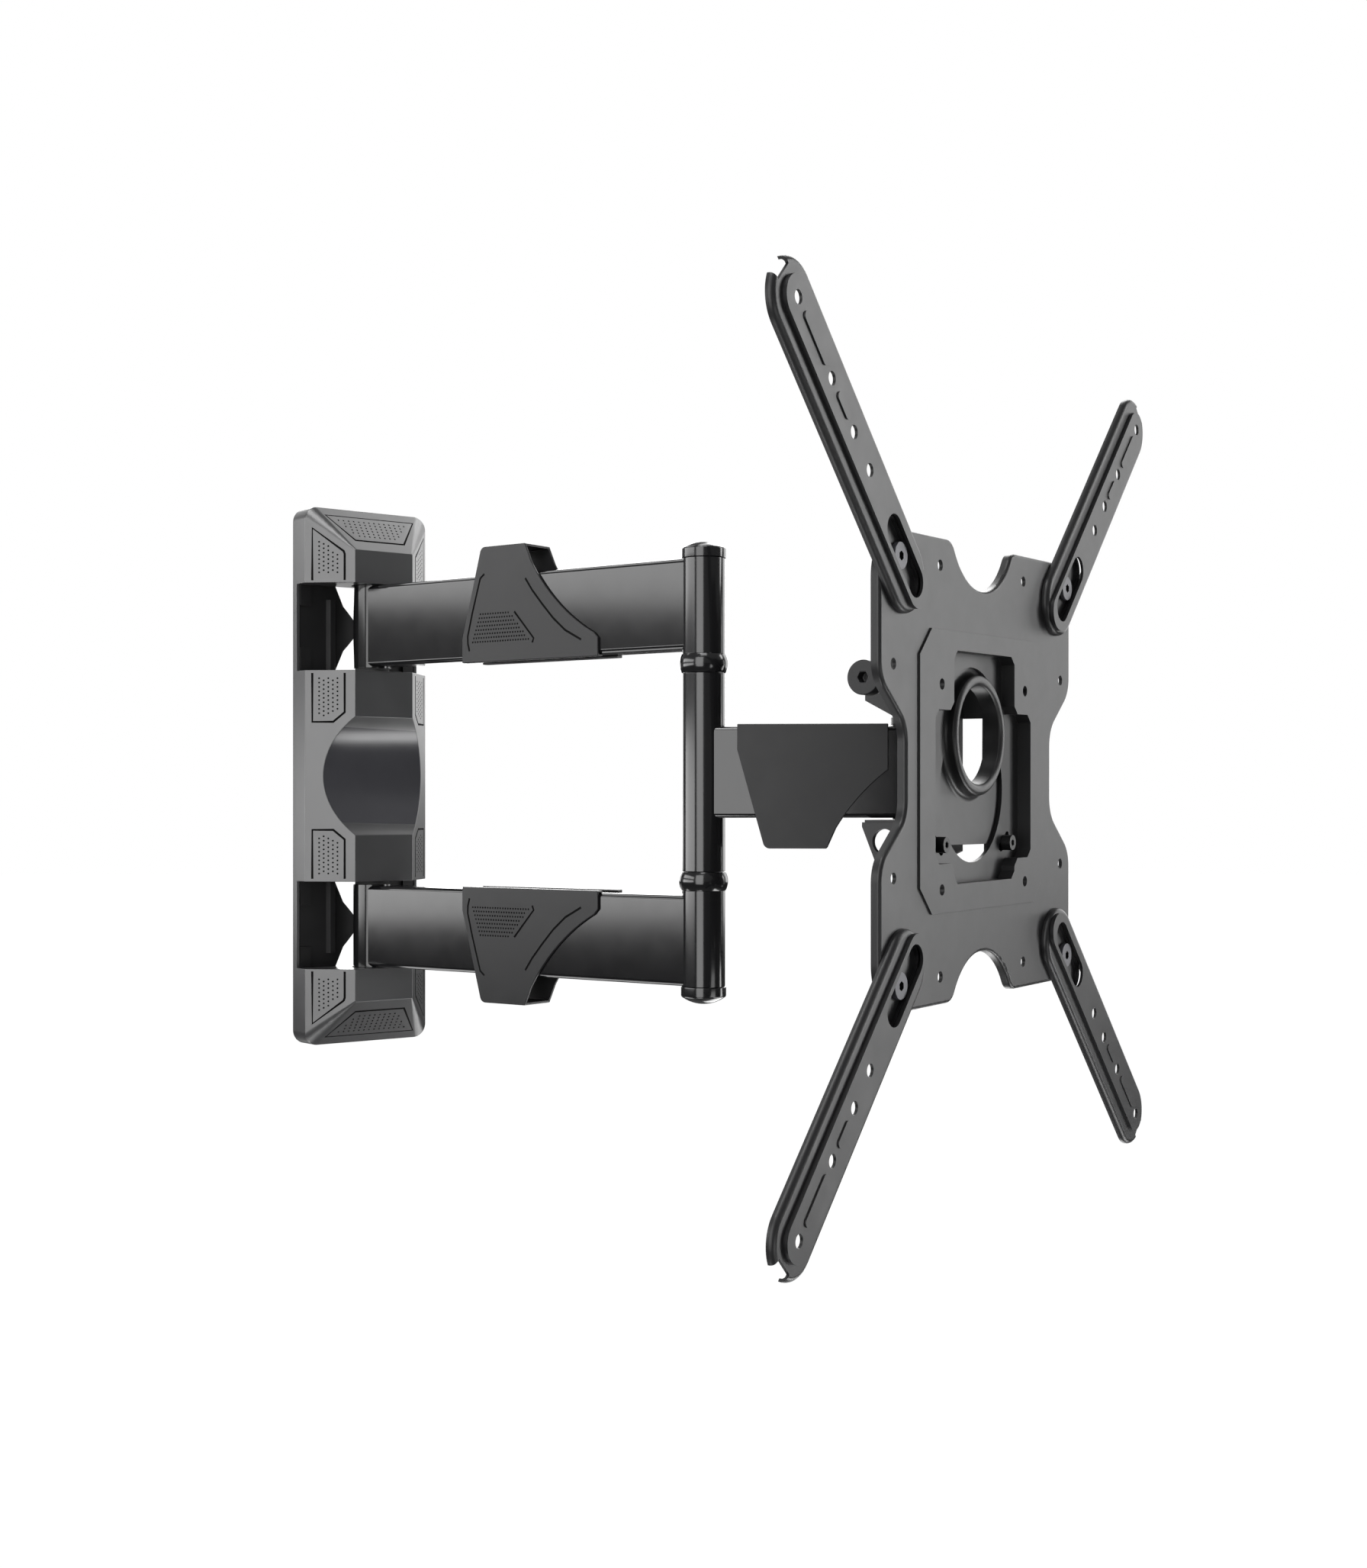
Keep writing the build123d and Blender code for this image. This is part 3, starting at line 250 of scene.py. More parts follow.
class Finishes(Enum):
    """Every finish on the mount, and the painted recess shade: name, colour, roughness, its spread,
    grain size and depth.
    """

    # Injection-moulded ABS with a fine spark-eroded skin: a soft, even grey sheen.
    COVER = Finish("moulded_abs_satin", "#272728", 0.3, 0.02, 0.5, 0.003, specular=0.75)
    # The scoop's mould is polished: it shows the lights as soft bands.
    SCOOP = Finish("moulded_abs_polished", "#2b2b2e", 0.21, 0.01, 0.5, 0.001)
    # Grooves, dots and sockets: near-black rough plastic, painted shade that stands in for the shadow
    # falling in them.
    RECESS_SHADE = Finish("moulded_abs_painted_recess_shade", "#060606", 0.8, 0.05, 0.5, 0.01, specular=0.1)
    # The same plastic, duller: the clips barely catch the light.
    CLIP = Finish("moulded_abs_matte", "#161617", 0.36, 0.03, 0.5, 0.004, specular=0.24)
    # Stove enamel on the arm tubes: smooth, with long soft gradients.
    ENAMEL = Finish("stove_enamel", "#0c0c0d", 0.12, 0.01, 0.8, 0.001)
    # Glossier enamel on the turned post: crisp upright highlights.
    GLOSS = Finish("gloss_enamel", "#101011", 0.15, 0.01, 0.9, 0.002)
    # Powder coat on pressed steel: satin, with a faint orange peel.
    POWDER = Finish("powder_coat", "#151516", 0.38, 0.03, 0.9, 0.008, specular=0.3)
    # Dip-coated steel behind the cover: matte and close to black.
    DIPPED = Finish("dip_coat", "#0c0c0d", 0.5, 0.05, 0.8, 0.005, specular=0.25)
    # Black zinc on the fasteners: a darker metal glint.
    ZINC = Finish("black_zinc", "#141416", 0.34, 0.05, 0.4, 0.004, metallic=0.8, specular=0.3)
    # Black oxide on the levelling screws: dull and darker than the plate.
    OXIDE = Finish("black_oxide", "#0a0a0b", 0.42, 0.05, 0.4, 0.004, specular=0.25)
    # Nylon of the bushes and spacers: dull and a little grey.
    NYLON = Finish("nylon", "#1b1b1b", 0.5, 0.05, 0.6, 0.01)


# Mesh tools


def add_object(name: str, data: bpy.types.ID) -> bpy.types.Object:
    """Puts a mesh, curve, light or camera into the scene as an object at the origin.

    Args:
        name: Name of the object.
        data: What it shows.

    Returns:
        The new object.
    """
    made = bpy.data.objects.new(name, data)
    bpy.context.scene.collection.objects.link(made)
    return made


def mesh_of(form: bmesh.types.BMesh, name: str) -> bpy.types.Mesh:
    """Turns a form into a mesh.

    Args:
        form: The modelled form, which is freed.
        name: Name of the mesh.

    Returns:
        The new mesh.
    """
    mesh = bpy.data.meshes.new(name)
    form.to_mesh(mesh)
    form.free()
    return mesh


def bake(piece: bpy.types.Object) -> None:
    """Replaces a piece's mesh by the result of its modifiers.

    Args:
        piece: Piece whose modifiers are applied.
    """
    bpy.context.view_layer.update()
    view = bpy.context.evaluated_depsgraph_get()
    result = bpy.data.meshes.new_from_object(piece.evaluated_get(view))
    old = piece.data
    piece.modifiers.clear()
    piece.data = result
    bpy.data.meshes.remove(old)


def firm_normals(piece: bpy.types.Object) -> None:
    """Shades a piece smooth, and lets its large faces rule, so that flat panels stay flat.

    Args:
        piece: Piece whose edges over an angle stay sharp.
    """
    for polygon in piece.data.polygons:
        polygon.use_smooth = True
    piece.data.set_sharp_from_angle(angle=math.radians(SHARP_DEGREES))
    step = piece.modifiers.new("normals", "WEIGHTED_NORMAL")
    step.keep_sharp = True
    step.weight = 100
    bake(piece)


def node_form(name: str, whole_faces: bool) -> bmesh.types.BMesh:
    """Copies a solid's mesh and joins its loose triangles.

    Args:
        name: Name of the solid's node.
        whole_faces: Whether coplanar triangles become one face.

    Returns:
        A new bmesh.
    """
    form = bmesh.new()
    form.from_mesh(frame["nodes"][name].data)
    bmesh.ops.remove_doubles(form, verts=form.verts, dist=WELD_MM * MM)
    if whole_faces:
        limit = math.radians(FLAT_DEGREES)
        bmesh.ops.dissolve_limit(form, angle_limit=limit, verts=form.verts, edges=form.edges)
    return form


def soften(form: bmesh.types.BMesh, width_mm: float) -> None:
    """Rounds every sharp edge of a form.

    Args:
        form: The form to work on.
        width_mm: How far from the edge the rounding starts.
    """
    limit = math.radians(SOFTEN_DEGREES)
    sharp = [e for e in form.edges if e.is_manifold and e.calc_face_angle(0.0) > limit]
    if sharp:
        bmesh.ops.bevel(
            form,
            geom=sharp,
            offset=width_mm * MM,
            offset_type="OFFSET",
            segments=2,
            profile=0.5,
            affect="EDGES",
            clamp_overlap=True,
            material=-1,
        )


def groove_bar(points: list, radius_mm: float, closed: bool) -> bpy.types.Mesh:
    """Makes a round bar along a path, to cut a groove with.

    Args:
        points: Corners of the path in the object's frame.
        radius_mm: Radius of the bar.
        closed: Whether the path returns to its start.

    Returns:
        The bar's mesh.
    """
    curve = bpy.data.curves.new("groove", "CURVE")
    curve.dimensions = "3D"
    curve.bevel_depth = radius_mm * MM
    curve.bevel_resolution = 1
    curve.use_fill_caps = True
    line = curve.splines.new("POLY")
    line.points.add(len(points) - 1)
    for spot, point in zip(line.points, points):
        spot.co = (*point, 1.0)
    line.use_cyclic_u = closed
    holder = add_object("groove", curve)
    bpy.context.view_layer.update()
    mesh = bpy.data.meshes.new_from_object(holder)
    bpy.data.objects.remove(holder)
    return mesh


@dataclass
class Cutter:
    """Collects grooves and pits, then cuts them out of a piece."""

    floor_share: float = 0.6
    mouth_share: float = 1.1
    form: bmesh.types.BMesh = field(default_factory=bmesh.new)

    def groove(self, points: list, radius_mm: float, closed: bool = False) -> None:
        """Adds a groove along a path."""
        self.form.from_mesh(groove_bar(points, radius_mm, closed))

    def pit(self, centre: Vector, normal: Vector, radius_mm: float, depth_mm: float) -> None:
        """Adds a round pit that narrows towards its floor.

        Args:
            centre: Middle of its mouth, in metres.
            normal: Direction out of the surface.
            radius_mm: Radius of the pit.
            depth_mm: Depth of its floor.
        """
        turn = normal.to_track_quat("Z", "Y").to_matrix().to_4x4()
        bmesh.ops.create_cone(
            self.form,
            cap_ends=True,
            segments=8,
            radius1=radius_mm * MM * self.floor_share,
            radius2=radius_mm * MM * self.mouth_share,
            depth=2 * depth_mm * MM,
            matrix=Matrix.Translation(centre) @ turn,
        )

    def socket(self, centre: Vector, normal: Vector, radius_mm: float, depth_mm: float) -> None:
        """Adds a straight hexagon socket.

        Args:
            centre: Middle of its mouth, in metres.
            normal: Direction out of the surface.
            radius_mm: Distance of its corners from the middle.
            depth_mm: Depth of its floor.
        """
        turn = normal.to_track_quat("Z", "Y").to_matrix().to_4x4()
        bmesh.ops.create_cone(
            self.form,
            cap_ends=True,
            segments=6,
            radius1=radius_mm * MM,
            radius2=radius_mm * MM,
            depth=2 * depth_mm * MM,
            matrix=Matrix.Translation(centre) @ turn,
        )

    def block(self, matrix: Matrix, size_mm: tuple) -> None:
        """Adds a square pit."""
        scale = Matrix.Diagonal((*[s * MM for s in size_mm], 1.0))
        bmesh.ops.create_cube(self.form, size=1.0, matrix=matrix @ scale)

    def cut(self, piece: bpy.types.Object) -> None:
        """Cuts everything that was collected out of a piece.

        Args:
            piece: Piece that gets the grooves and pits, their walls in near-black painted recess shade.
        """
        bmesh.ops.recalc_face_normals(self.form, faces=self.form.faces)
        # The cut walls take the painted recess shade, a near-black colour standing in for the shadow in
        # them.
        for face in self.form.faces:
            face.material_index = len(piece.data.materials)
        piece.data.materials.append(Finishes.RECESS_SHADE.value.material())
        tool = add_object("cutter", mesh_of(self.form, "cutter"))
        step = piece.modifiers.new("cut", "BOOLEAN")
        step.operation = "DIFFERENCE"
        step.solver = "EXACT"
        step.object = tool
        bake(piece)
        bpy.data.objects.remove(tool)
        firm_normals(piece)


def dress(node: str, body: str, finish: Finishes, edge_mm: float) -> bpy.types.Object:
    """Puts a softened copy with its finish in the place of a solid.

    Args:
        node: Name of the solid's node.
        body: Body that the piece rides on.
        finish: Finish of the piece.
        edge_mm: How far its edges are rounded.

    Returns:
        The new piece.
    """
    form = node_form(node, whole_faces=edge_mm > AS_MODELLED)
    if edge_mm > AS_MODELLED:
        soften(form, edge_mm)
    name = f"{node}_skin"
    piece = add_object(name, mesh_of(form, name))
    piece.data.materials.append(finish.value.material())
    firm_normals(piece)
    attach(piece, body)
    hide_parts(node)
    LOG.info("%s: %d faces", piece.name, len(piece.data.polygons))
    return piece


def repaint(nodes: list, finish: Finishes) -> None:
    """Gives solids that keep their own mesh a real finish.

    Args:
        nodes: Names of the solids' nodes.
        finish: Finish that they get.
    """
    for name in nodes:
        for holder in frame["nodes"][name].material_slots:
            holder.material = finish.value.material()
        LOG.info("%s: repainted", name)


# Pieces


@dataclass
class Bracket:
    """Pressed wall bracket with its pins and spacers."""

    edge: float = 0.4

    def build(self) -> None:
        """Dresses the bracket and repaints what it holds, and the bushes further out."""
        dress("wall_bracket", "wall", Finishes.DIPPED, self.edge)
        for level in ("upper", "lower"):
            repaint([f"{level}_hinge_pin"], Finishes.ZINC)
            repaint([f"{level}_hinge_spacer", f"{level}_hinge_bushes"], Finishes.NYLON)
        repaint(["middle_post_bushes", "head_bushes"], Finishes.NYLON)


@dataclass
class WallCover:
    """Moulded cover with grooved and dotted panels on its slopes, sizes in millimetres."""

    # The cover's own outline: half sizes, depth of its sides and of its flat front.
    half_width: float = 40.85
    half_height: float = 156.4
    side_depth: float = 14.4
    depth: float = 34.8
    flat_half_width: float = 19.3
    flat_half_height: float = 130.9
    edge: float = 0.7
    # Grooves round the panels. Their bars stand a little proud, for a crisp edge.
    groove_radius: float = 0.75
    groove_lift: float = 0.13
    # Side panels, up the slope from its outer edge, then along the height.
    panel_inner: float = 4.4
    panel_outer: float = 23.4
    cap_panel: tuple = (113.2, 143.5, 129.2)
    cap_knee: tuple = (0.6, 0.8)
    middle_panel: tuple = (59.6, 31.3, 36.8, 16.7)
    # End panels: half width and place of the outer side, then of the inner side.
    end_panel: tuple = (29.5, 6.0, 16.3, 25.0)
    # Pits of the side panels: columns up the slope, then the first pit of each column,
    # the margin at its other end, and from where and how steeply that end slopes.
    pit_radius: float = 0.66
    pit_depth: float = 0.55
    pit_step: tuple = (2.7, 2.53)
    columns: int = 5
    first_column: float = 8.4
    cap_pits: tuple = (117.8, 8.0, 12.0, 0.75)
    middle_pits: tuple = (56.5, 3.0, 14.0, 0.8)
    # Pits of the end panels: rows up the slope, their step, and the step in a row.
    end_rows: int = 6
    first_row: float = 9.4
    end_step: tuple = (2.35, 3.4)
    end_margin: float = 5.0
    # The scoop's faces: how high it reaches, and which way they lean.
    scoop_half_height: float = 27.5
    scoop_lip: float = 0.3
    scoop_sideways: float = 0.05
    scoop_forward: float = 0.2

    def slope(self, half: float, flat_half: float) -> Vector:
        """Gives the run of a slope: how it goes inwards and forwards."""
        return Vector((half - flat_half, self.depth - self.side_depth)).normalized()

    def side_point(self, side: int, along_slope: float, z: float) -> tuple:
        """Finds a place on the left or right slope.

        Args:
            side: -1 for the left slope, 1 for the right.
            along_slope: Millimetres inwards from its outer edge.
            z: Height in millimetres.

        Returns:
            The point in metres and the slope's normal there.
        """
        run = self.slope(self.half_width, self.flat_half_width)
        x = side * (self.half_width - run.x * along_slope)
        point = Vector((x, -self.side_depth - run.y * along_slope, z)) * MM
        return point, Vector((side * run.y, -run.x, 0.0))

    def end_point(self, side: int, x: float, along_slope: float) -> tuple:
        """Finds a place on the top or bottom slope.

        Args:
            side: -1 for the bottom slope, 1 for the top.
            x: Millimetres sideways from the middle.
            along_slope: Millimetres inwards from its outer edge.

        Returns:
            The point in metres and the slope's normal there.
        """
        run = self.slope(self.half_height, self.flat_half_height)
        z = side * (self.half_height - run.x * along_slope)
        point = Vector((x, -self.side_depth - run.y * along_slope, z)) * MM
        return point, Vector((0.0, -run.x, side * run.y))

    def groove(self, cutter: Cutter, spots: list, closed: bool = False) -> None:
        """Adds a groove through places on a slope, its bar a little proud of it."""
        points = [point + normal * self.groove_lift * MM for point, normal in spots]
        cutter.groove(points, self.groove_radius, closed)

    def pit(self, cutter: Cutter, spot: tuple) -> None:
        """Adds a pit at a place on a slope."""
        cutter.pit(*spot, self.pit_radius, self.pit_depth)

    def side_grooves(self, cutter: Cutter, side: int, level: int) -> None:
        """Adds the groove of one panel beside a cap and of one in the middle.

        Args:
            cutter: Cutter that gets the grooves.
            side: -1 for the left slope, 1 for the right.
            level: -1 below the middle, 1 above.
        """
        low, high, knee = self.cap_panel
        cut_u, cut_z = self.cap_knee
        edge, foot, bend, bend_u = self.middle_panel
        inner, outer = self.panel_inner, self.panel_outer
        corner = [(outer - cut_u, knee + cut_z), (outer, knee - cut_z)]
        cap = [(inner, low), (inner, high), *corner, (outer, low)]
        middle = [(inner, edge), (inner, foot), (bend_u, foot), (outer, bend), (outer, edge)]
        for path in (cap, middle):
            self.groove(cutter, [self.side_point(side, u, level * z) for u, z in path])

    def side_pits(self, cutter: Cutter, side: int, level: int) -> None:
        """Adds the staggered pits of one panel beside a cap and of one in the middle.

        Args:
            cutter: Cutter that gets the pits.
            side: -1 for the left slope, 1 for the right.
            level: -1 below the middle, 1 above.
        """
        step_u, step_z = self.pit_step
        start, margin, bend, steep = self.cap_pits
        middle_start, middle_margin, middle_bend, middle_steep = self.middle_pits
        for column in range(self.columns):
            u = self.first_column + column * step_u
            shift = step_z / 2 if column % 2 else 0.0
            top = self.cap_panel[1] - margin - max(0.0, u - bend) * steep - shift
            z = start + shift
            while z < top + 0.1:
                self.pit(cutter, self.side_point(side, u, level * z))
                z += step_z
            foot = self.middle_panel[1] + middle_margin + max(0.0, u - middle_bend) * middle_steep
            z = middle_start - shift
            while z > foot:
                self.pit(cutter, self.side_point(side, u, level * z))
                z -= step_z

    def end_panels(self, cutter: Cutter) -> None:
        """Adds the groove and the pits of the top slope and of the bottom slope.

        Args:
            cutter: Cutter that gets them.
        """
        wide, near, narrow, far = self.end_panel
        row_step, step = self.end_step
        for level in (-1, 1):
            corners = [(-wide, near), (wide, near), (narrow, far), (-narrow, far)]
            self.groove(cutter, [self.end_point(level, x, w) for x, w in corners], closed=True)
            for row in range(self.end_rows):
                w = self.first_row + row * row_step
                reach = wide - self.end_margin - (w - near) * (wide - narrow) / (far - near)
                x = -reach + (step / 2 if row % 2 else 0.0)
                while x < reach:
                    self.pit(cutter, self.end_point(level, x, w))
                    x += step

    def polish_scoop(self, piece: bpy.types.Object) -> None:
        """Gives the scoop between the middle panels its polished finish.

        Args:
            piece: The dressed cover.
        """
        polished = len(piece.data.materials)
        piece.data.materials.append(Finishes.SCOOP.value.material())
        for polygon in piece.data.polygons:
            spot, normal = polygon.center / MM, polygon.normal
            curved = abs(normal.x) < self.scoop_sideways and normal.y < -self.scoop_forward
            behind_front = spot.y > self.scoop_lip - self.depth
            if curved and behind_front and abs(spot.z) < self.scoop_half_height:
                polygon.material_index = polished

    def build(self) -> None:
        """Builds the cover, polishes its scoop and cuts its panels."""
        piece = dress("wall_cover", "wall", Finishes.COVER, self.edge)
        self.polish_scoop(piece)
        cutter = Cutter()
        for side in (-1, 1):
            for level in (-1, 1):
                self.side_grooves(cutter, side, level)
                self.side_pits(cutter, side, level)
        self.end_panels(cutter)
        cutter.cut(piece)
        LOG.info("cover panels: %d faces", len(piece.data.polygons))


@dataclass
class Arms:
    """Enamelled arm tubes with their sleeves and the post."""

    edge: float = 0.4
    cap_edge: float = 0.5

    def build(self) -> None:
        """Dresses the tubes, the sleeves, the post and its rings and caps."""
        for level in ("upper", "lower"):
            dress(f"{level}_rear_arm", "rear_arms", Finishes.ENAMEL, AS_MODELLED)
            dress(f"{level}_hinge_sleeve", "rear_arms", Finishes.ENAMEL, self.edge)
            dress(f"{level}_post_tube", "rear_arms", Finishes.GLOSS, self.edge)
            dress(f"{level}_post_ring", "rear_arms", Finishes.GLOSS, AS_MODELLED)
            dress(f"{level}_post_cap", "rear_arms", Finishes.GLOSS, self.cap_edge)
        dress("front_arm", "front_arm", Finishes.ENAMEL, AS_MODELLED)
        dress("head_sleeve", "front_arm", Finishes.ENAMEL, self.edge)
        dress("middle_post_tube", "front_arm", Finishes.GLOSS, self.edge)
        repaint(["post_pin"], Finishes.ZINC)


@dataclass
class CableClips:
    """Three cable clips, two of them with grooves and square dots, sizes in millimetres."""

    # Where the rear clips start along the arm, how high the arm is, and their half width.
    start: float = 81.0
    arm_z: float = 87.6
    face: float = 10.85
    edge: float = 1.0
    # Grooves of a face, from the clip's start and up from the arm's middle.
    groove_radius: float = 0.7
    groove_lift: float = 0.13
    left_groove: tuple = (
        (16.7, 24.2),
        (13.6, 21.8),
        (7.6, 2.3),
        (4.3, -10.0),
        (4.4, -14.0),
        (5.6, -18.4),
    )
    right_groove: tuple = (
        (46.6, 20.0),
        (51.5, 13.2),
        (58.8, 5.0),
        (66.5, -3.0),
        (74.9, -9.9),
        (86.0, -15.6),
    )
    grid_groove: tuple = ((38.6, 2.2), (52.6, -13.2), (51.6, -15.6))
    # Grid of dots: ends of its top row, how far each end moves out by the last row.
    rows: int = 8
    top_row: float = 1.9
    row_step: float = 2.2
    row_ends: tuple = (13.8, 36.0)
    row_spread: tuple = (5.7, 13.4)
    dot_step: float = 1.85
    dot: tuple = (0.95, 0.9, 0.95)

    def cut_face(self, cutter: Cutter, turn: int, side: int) -> None:
        """Adds the grooves and dots of one face of a rear clip.

        Args:
            cutter: Cutter that gets them.
            turn: 1 for the upper clip, -1 for the lower, which stands on its head.
            side: -1 for one face, 1 for the other.
        """
        z = turn * self.arm_z
        for path in (self.left_groove, self.right_groove, self.grid_groove):
            reach = side * (self.face + self.groove_lift)
            points = [REAR.at(self.start + x, reach, z + turn * up) for x, up in path]
            cutter.groove(points, self.groove_radius)
        for row in range(self.rows):
            share = row / (self.rows - 1)
            first = self.row_ends[0] - self.row_spread[0] * share
            last = self.row_ends[1] + self.row_spread[1] * share
            up = self.top_row - row * self.row_step
            for column in range(int((last - first) / self.dot_step) + 1):
                x = first + column * self.dot_step
                matrix = REAR.matrix(self.start + x, side * self.face, z + turn * up)
                cutter.block(matrix, self.dot)

    def build(self) -> None:
        """Builds the clips on the rear arms and the plain one on the front arm."""
        for level, turn in (("upper", 1), ("lower", -1)):
            piece = dress(f"{level}_cable_clip", "rear_arms", Finishes.CLIP, self.edge)
            cutter = Cutter()
            for side in (-1, 1):
                self.cut_face(cutter, turn, side)
            cutter.cut(piece)
        dress("front_cable_clip", "front_arm", Finishes.CLIP, self.edge)


@dataclass
class Head:
    """Yoke, tilt bracket, knob and their fasteners."""

    edge: float = 0.5
    knob_edge: float = 0.6
    screw_edge: float = 0.3
    pin_edge: float = 0.4

    def build(self) -> None:
        """Dresses the yoke, the tilt bracket, the knob and the fasteners."""
        dress("head_yoke", "head", Finishes.POWDER, self.edge)
        dress("tilt_bracket", "tilt", Finishes.POWDER, self.edge)
        dress("tilt_knob", "knob", Finishes.CLIP, self.knob_edge)
        for name in ("left_level_screw", "right_level_screw"):
            dress(name, "tilt", Finishes.OXIDE, self.screw_edge)
        for name in ("head_pin", "head_nut", "tilt_pin", "clamp_nut"):
            dress(name, "head", Finishes.ZINC, self.pin_edge)


@dataclass
class ScreenPlate:
    """Pressed plate, its spider arms and their pivots."""

    edge: float = 0.6
    arm_edge: float = 0.35
    bolt_edge: float = 0.4
    nut_edge: float = 0.3
    socket_radius: float = 2.4
    socket_depth: float = 2.2

    def cut_socket(self, bolt: bpy.types.Object, pivot: Vector) -> None:
        """Cuts a hexagon socket into the front of a pivot bolt.

        Args:
            bolt: Dressed bolt.
            pivot: Any point on the bolt's axis, in metres.
        """
        axis = PLATE.forward
        reach = max(axis.dot(vertex.co) for vertex in bolt.data.vertices)
        front = pivot + axis * (reach - axis.dot(pivot))
        cutter = Cutter()
        cutter.socket(front, axis, self.socket_radius, self.socket_depth)
        cutter.cut(bolt)

    def build(self) -> None:
        """Dresses the plate and each spider arm with its bolt and nut."""
        dress("screen_plate", "plate", Finishes.POWDER, self.edge)
        for corner in ("upper_right", "upper_left", "lower_left", "lower_right"):
            dress(f"{corner}_spider_arm", f"{corner}_spider", Finishes.POWDER, self.arm_edge)
            bolt = dress(f"{corner}_pivot_bolt", "plate", Finishes.ZINC, self.bolt_edge)
            self.cut_socket(bolt, joint(f"{corner}_spider_turn")[0])
            dress(f"{corner}_pivot_nut", "plate", Finishes.ZINC, self.nut_edge)


# Studio


@dataclass(frozen=True)
class Softbox:
    """A rectangular light: its place, what it looks at and its size in metres, and its power."""

    name: str
    place: tuple
    target: tuple
    size: tuple
    watts: float

    def hang(self) -> None:
        """Hangs the light where the camera doesn't see it."""
        lamp = bpy.data.lights.new(self.name, "AREA")
        lamp.shape = "RECTANGLE"
        lamp.size, lamp.size_y = self.size
        lamp.energy = self.watts
        box = add_object(self.name, lamp)
        box.location = self.place
        look = Vector(self.target) - Vector(self.place)
        box.rotation_euler = look.to_track_quat("-Z", "Y").to_euler()
        box.visible_camera = False


SOFTBOXES = (
    # The key, and two strips that draw the long gradients on the arm tubes.
    Softbox("left_key", (-1.0, -0.85, 0.2), (0, -0.05, 0), (0.8, 1.3), 14.5),
    Softbox("upper_strip", (-0.78, 0.25, 0.3), (0.03, -0.137, 0.15), (1.2, 0.24), 4.9),
    Softbox("lower_strip", (-0.78, 0.25, -0.035), (0.03, -0.137, -0.06), (1.2, 0.19), 4.2),
    # The cover's top slope, and the band across its scoop.
    Softbox("top", (0.28, -0.045, 0.56), (0, -0.02, 0.14), (0.12, 0.25), 0.34),
    Softbox("low_band", (0.67, -0.63, -0.77), (0, -0.02, 0), (0.9, 0.2), 5.0),
    # Rims of the clips and of the tubes' long edges.
    Softbox("overhead", (-0.28, -0.6, 0.98), (0, -0.03, 0.12), (0.45, 0.6), 4.6),
    Softbox("rim_over", (-0.33, -0.38, 1.0), (0.05, -0.17, 0.09), (0.3, 0.3), 3.0),
    Softbox("rim_under", (-0.33, -0.38, -0.93), (0.05, -0.17, -0.09), (0.3, 0.3), 3.2),
    Softbox("back_over", (-0.17, 0.33, 0.85), (0.05, -0.35, 0.0), (0.6, 0.5), 3.0),
    Softbox("back_under", (-0.17, 0.33, -0.75), (0.05, -0.35, 0.0), (0.6, 0.5), 3.4),
    # Light from behind and from the right, for the post and the plate's edges.
    Softbox("back", (0.55, 1.9, 0.5), (0, -0.1, 0), (1.9, 1.3), 17.0),
    Softbox("back_right", (1.1, 1.2, 0.6), (0, -0.1, 0), (1.2, 1.2), 17.0),
    Softbox("right", (1.9, 0.1, 0.4), (0, -0.1, 0), (1.0, 1.2), 9.0),
    Softbox("back_rim", (0.88, 0.21, 0.88), (0.08, -0.15, 0.1), (0.5, 0.5), 5.0),
    Softbox("under_rim", (0.67, 0.12, -0.68), (0.08, -0.15, -0.1), (0.4, 0.4), 2.2),
    Softbox("right_rim", (1.4, -0.85, 0.2), (0.1, -0.2, 0), (0.42, 1.6), 15.0),
    # The plate's face, seen straight on.
    Softbox("front_fill", (0.35, -2.3, -0.6), (0.15, -0.4, 0), (1.1, 0.7), 9.0),
)


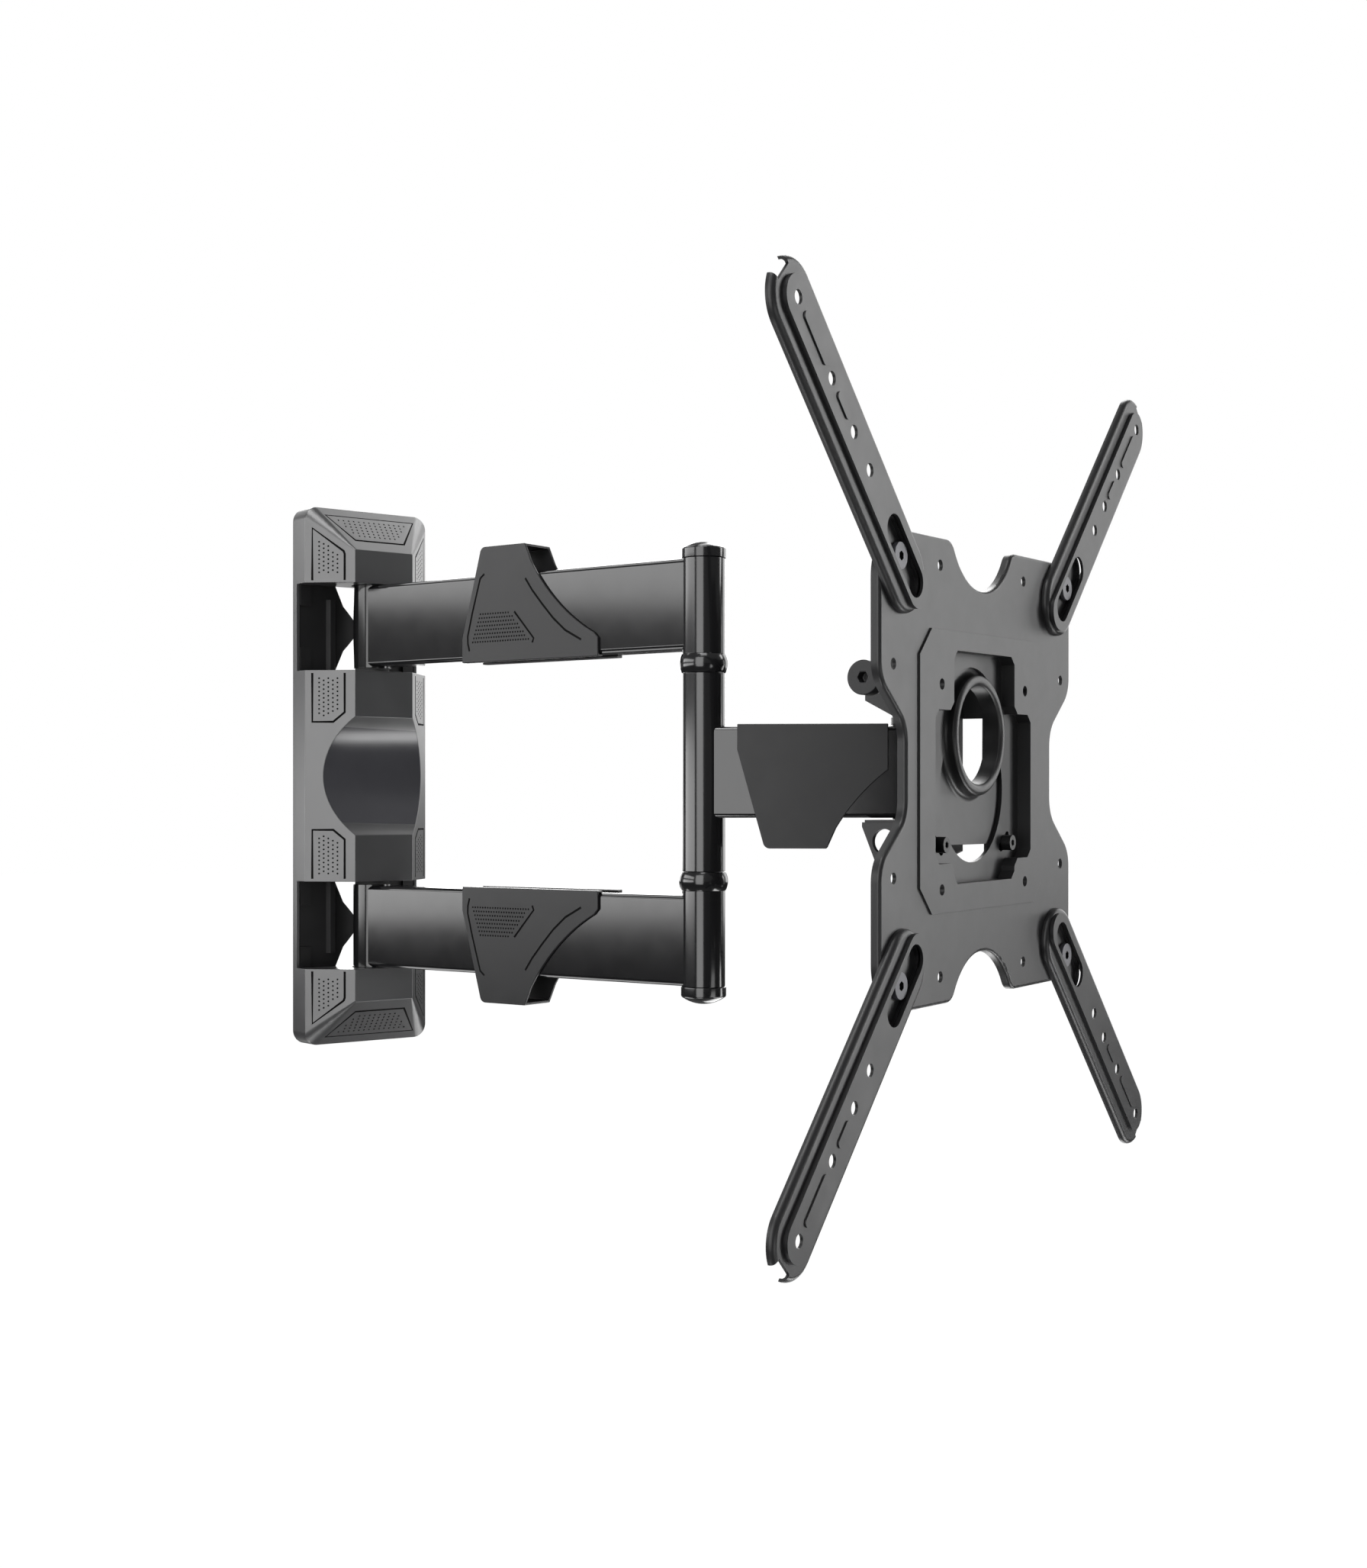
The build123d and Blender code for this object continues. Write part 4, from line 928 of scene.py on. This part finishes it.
@dataclass
class Studio:
    """Camera, soft lights and a plain pale floor."""

    eye: tuple = (-0.6301, -1.0873, -0.0178)
    heading: float = -39.1
    sensor_mm: float = 36.0
    focal_px: float = 2724.9
    image: tuple = (1792, 2055)
    horizon_px: float = 1057.13
    clip_start: float = 0.01
    floor_z: float = -1.0
    floor_radius: float = 30.0
    floor_roughness: float = 0.9
    # To the camera the floor is as white as the studio, and it lights the mount less.
    floor_colour: str = "#5a5a5a"
    floor_seen: str = "#101010"
    floor_lift: float = 0.99
    # The glow's strength, lowest and highest, and the slopes of view where it has them.
    glow: tuple = (0.16, 0.32)
    glow_from: tuple = (-0.5, 0.7)

    def camera(self) -> None:
        """Sets the camera at the viewpoint of the photograph."""
        lens = bpy.data.cameras.new("camera")
        lens.sensor_width = self.sensor_mm
        lens.lens = self.focal_px * self.sensor_mm / max(self.image)
        lens.shift_y = (self.horizon_px - self.image[1] / 2) / max(self.image)
        lens.clip_start = self.clip_start
        eye = add_object("camera", lens)
        eye.location = self.eye
        eye.rotation_euler = (math.radians(90), 0.0, math.radians(self.heading))
        bpy.context.scene.camera = eye

    def world(self) -> None:
        """Fills the studio with a dim glow, lighter above than below, on a white backdrop."""
        sky = bpy.data.worlds.new("studio")
        bpy.context.scene.world = sky
        sky.use_nodes = True
        tree = sky.node_tree
        tree.nodes.clear()
        place = add_node(tree, "ShaderNodeTexCoord").outputs["Object"]
        split = add_node(tree, "ShaderNodeSeparateXYZ", {}, {"Vector": place})
        low, high = self.glow
        start, end = self.glow_from
        height = add_node(
            tree,
            "ShaderNodeMapRange",
            {"From Min": start, "From Max": end, "To Min": low, "To Max": high},
            {"Value": split.outputs["Z"]},
        )
        seen = add_node(tree, "ShaderNodeBackground", {"Color": linear(WHITE), "Strength": 1.0})
        glow = add_node(
            tree,
            "ShaderNodeBackground",
            {"Color": linear(WHITE)},
            {"Strength": height.outputs["Result"]},
        )
        ray = add_node(tree, "ShaderNodeLightPath").outputs["Is Camera Ray"]
        links = {0: ray, 1: glow.outputs[0], 2: seen.outputs[0]}
        mix = add_node(tree, "ShaderNodeMixShader", {}, links)
        add_node(tree, "ShaderNodeOutputWorld", {}, {"Surface": mix.outputs[0]})

    def floor_paint(self) -> bpy.types.Material:
        """Makes the floor's paint.

        Returns:
            A matte material that looks white and lights the mount as a grey one.
        """
        paint = bpy.data.materials.new("floor_paint")
        paint.use_nodes = True
        tree = paint.node_tree
        shader = tree.nodes["Principled BSDF"]
        shader.inputs["Roughness"].default_value = self.floor_roughness
        shader.inputs["Emission Color"].default_value = linear(WHITE)
        ray = add_node(tree, "ShaderNodeLightPath").outputs["Is Camera Ray"]
        shade = add_node(
            tree,
            "ShaderNodeMix",
            {"data_type": "RGBA", 6: linear(self.floor_colour), 7: linear(self.floor_seen)},
            {0: ray},
        )
        lift = add_node(tree, "ShaderNodeMath", {"operation": "MULTIPLY", 1: self.floor_lift}, {0: ray})
        tree.links.new(shade.outputs[2], shader.inputs["Base Color"])
        tree.links.new(lift.outputs[0], shader.inputs["Emission Strength"])
        return paint

    def floor(self) -> None:
        """Lays the pale floor."""
        form = bmesh.new()
        down = Matrix.Translation((0, 0, self.floor_z))
        bmesh.ops.create_circle(form, cap_ends=True, segments=96, radius=self.floor_radius, matrix=down)
        ground = add_object("floor", mesh_of(form, "floor"))
        ground.data.materials.append(self.floor_paint())

    def build(self) -> None:
        """Sets up the whole studio."""
        bpy.context.scene.view_settings.view_transform = "Standard"
        self.camera()
        self.world()
        self.floor()
        for softbox in SOFTBOXES:
            softbox.hang()


def main() -> None:
    """Builds the studio and every part of the mount, in order."""
    logging.basicConfig(level=logging.INFO, format="%(message)s")
    Studio().build()
    Bracket().build()
    WallCover().build()
    Arms().build()
    CableClips().build()
    Head().build()
    ScreenPlate().build()


if __name__ == "__main__":
    main()
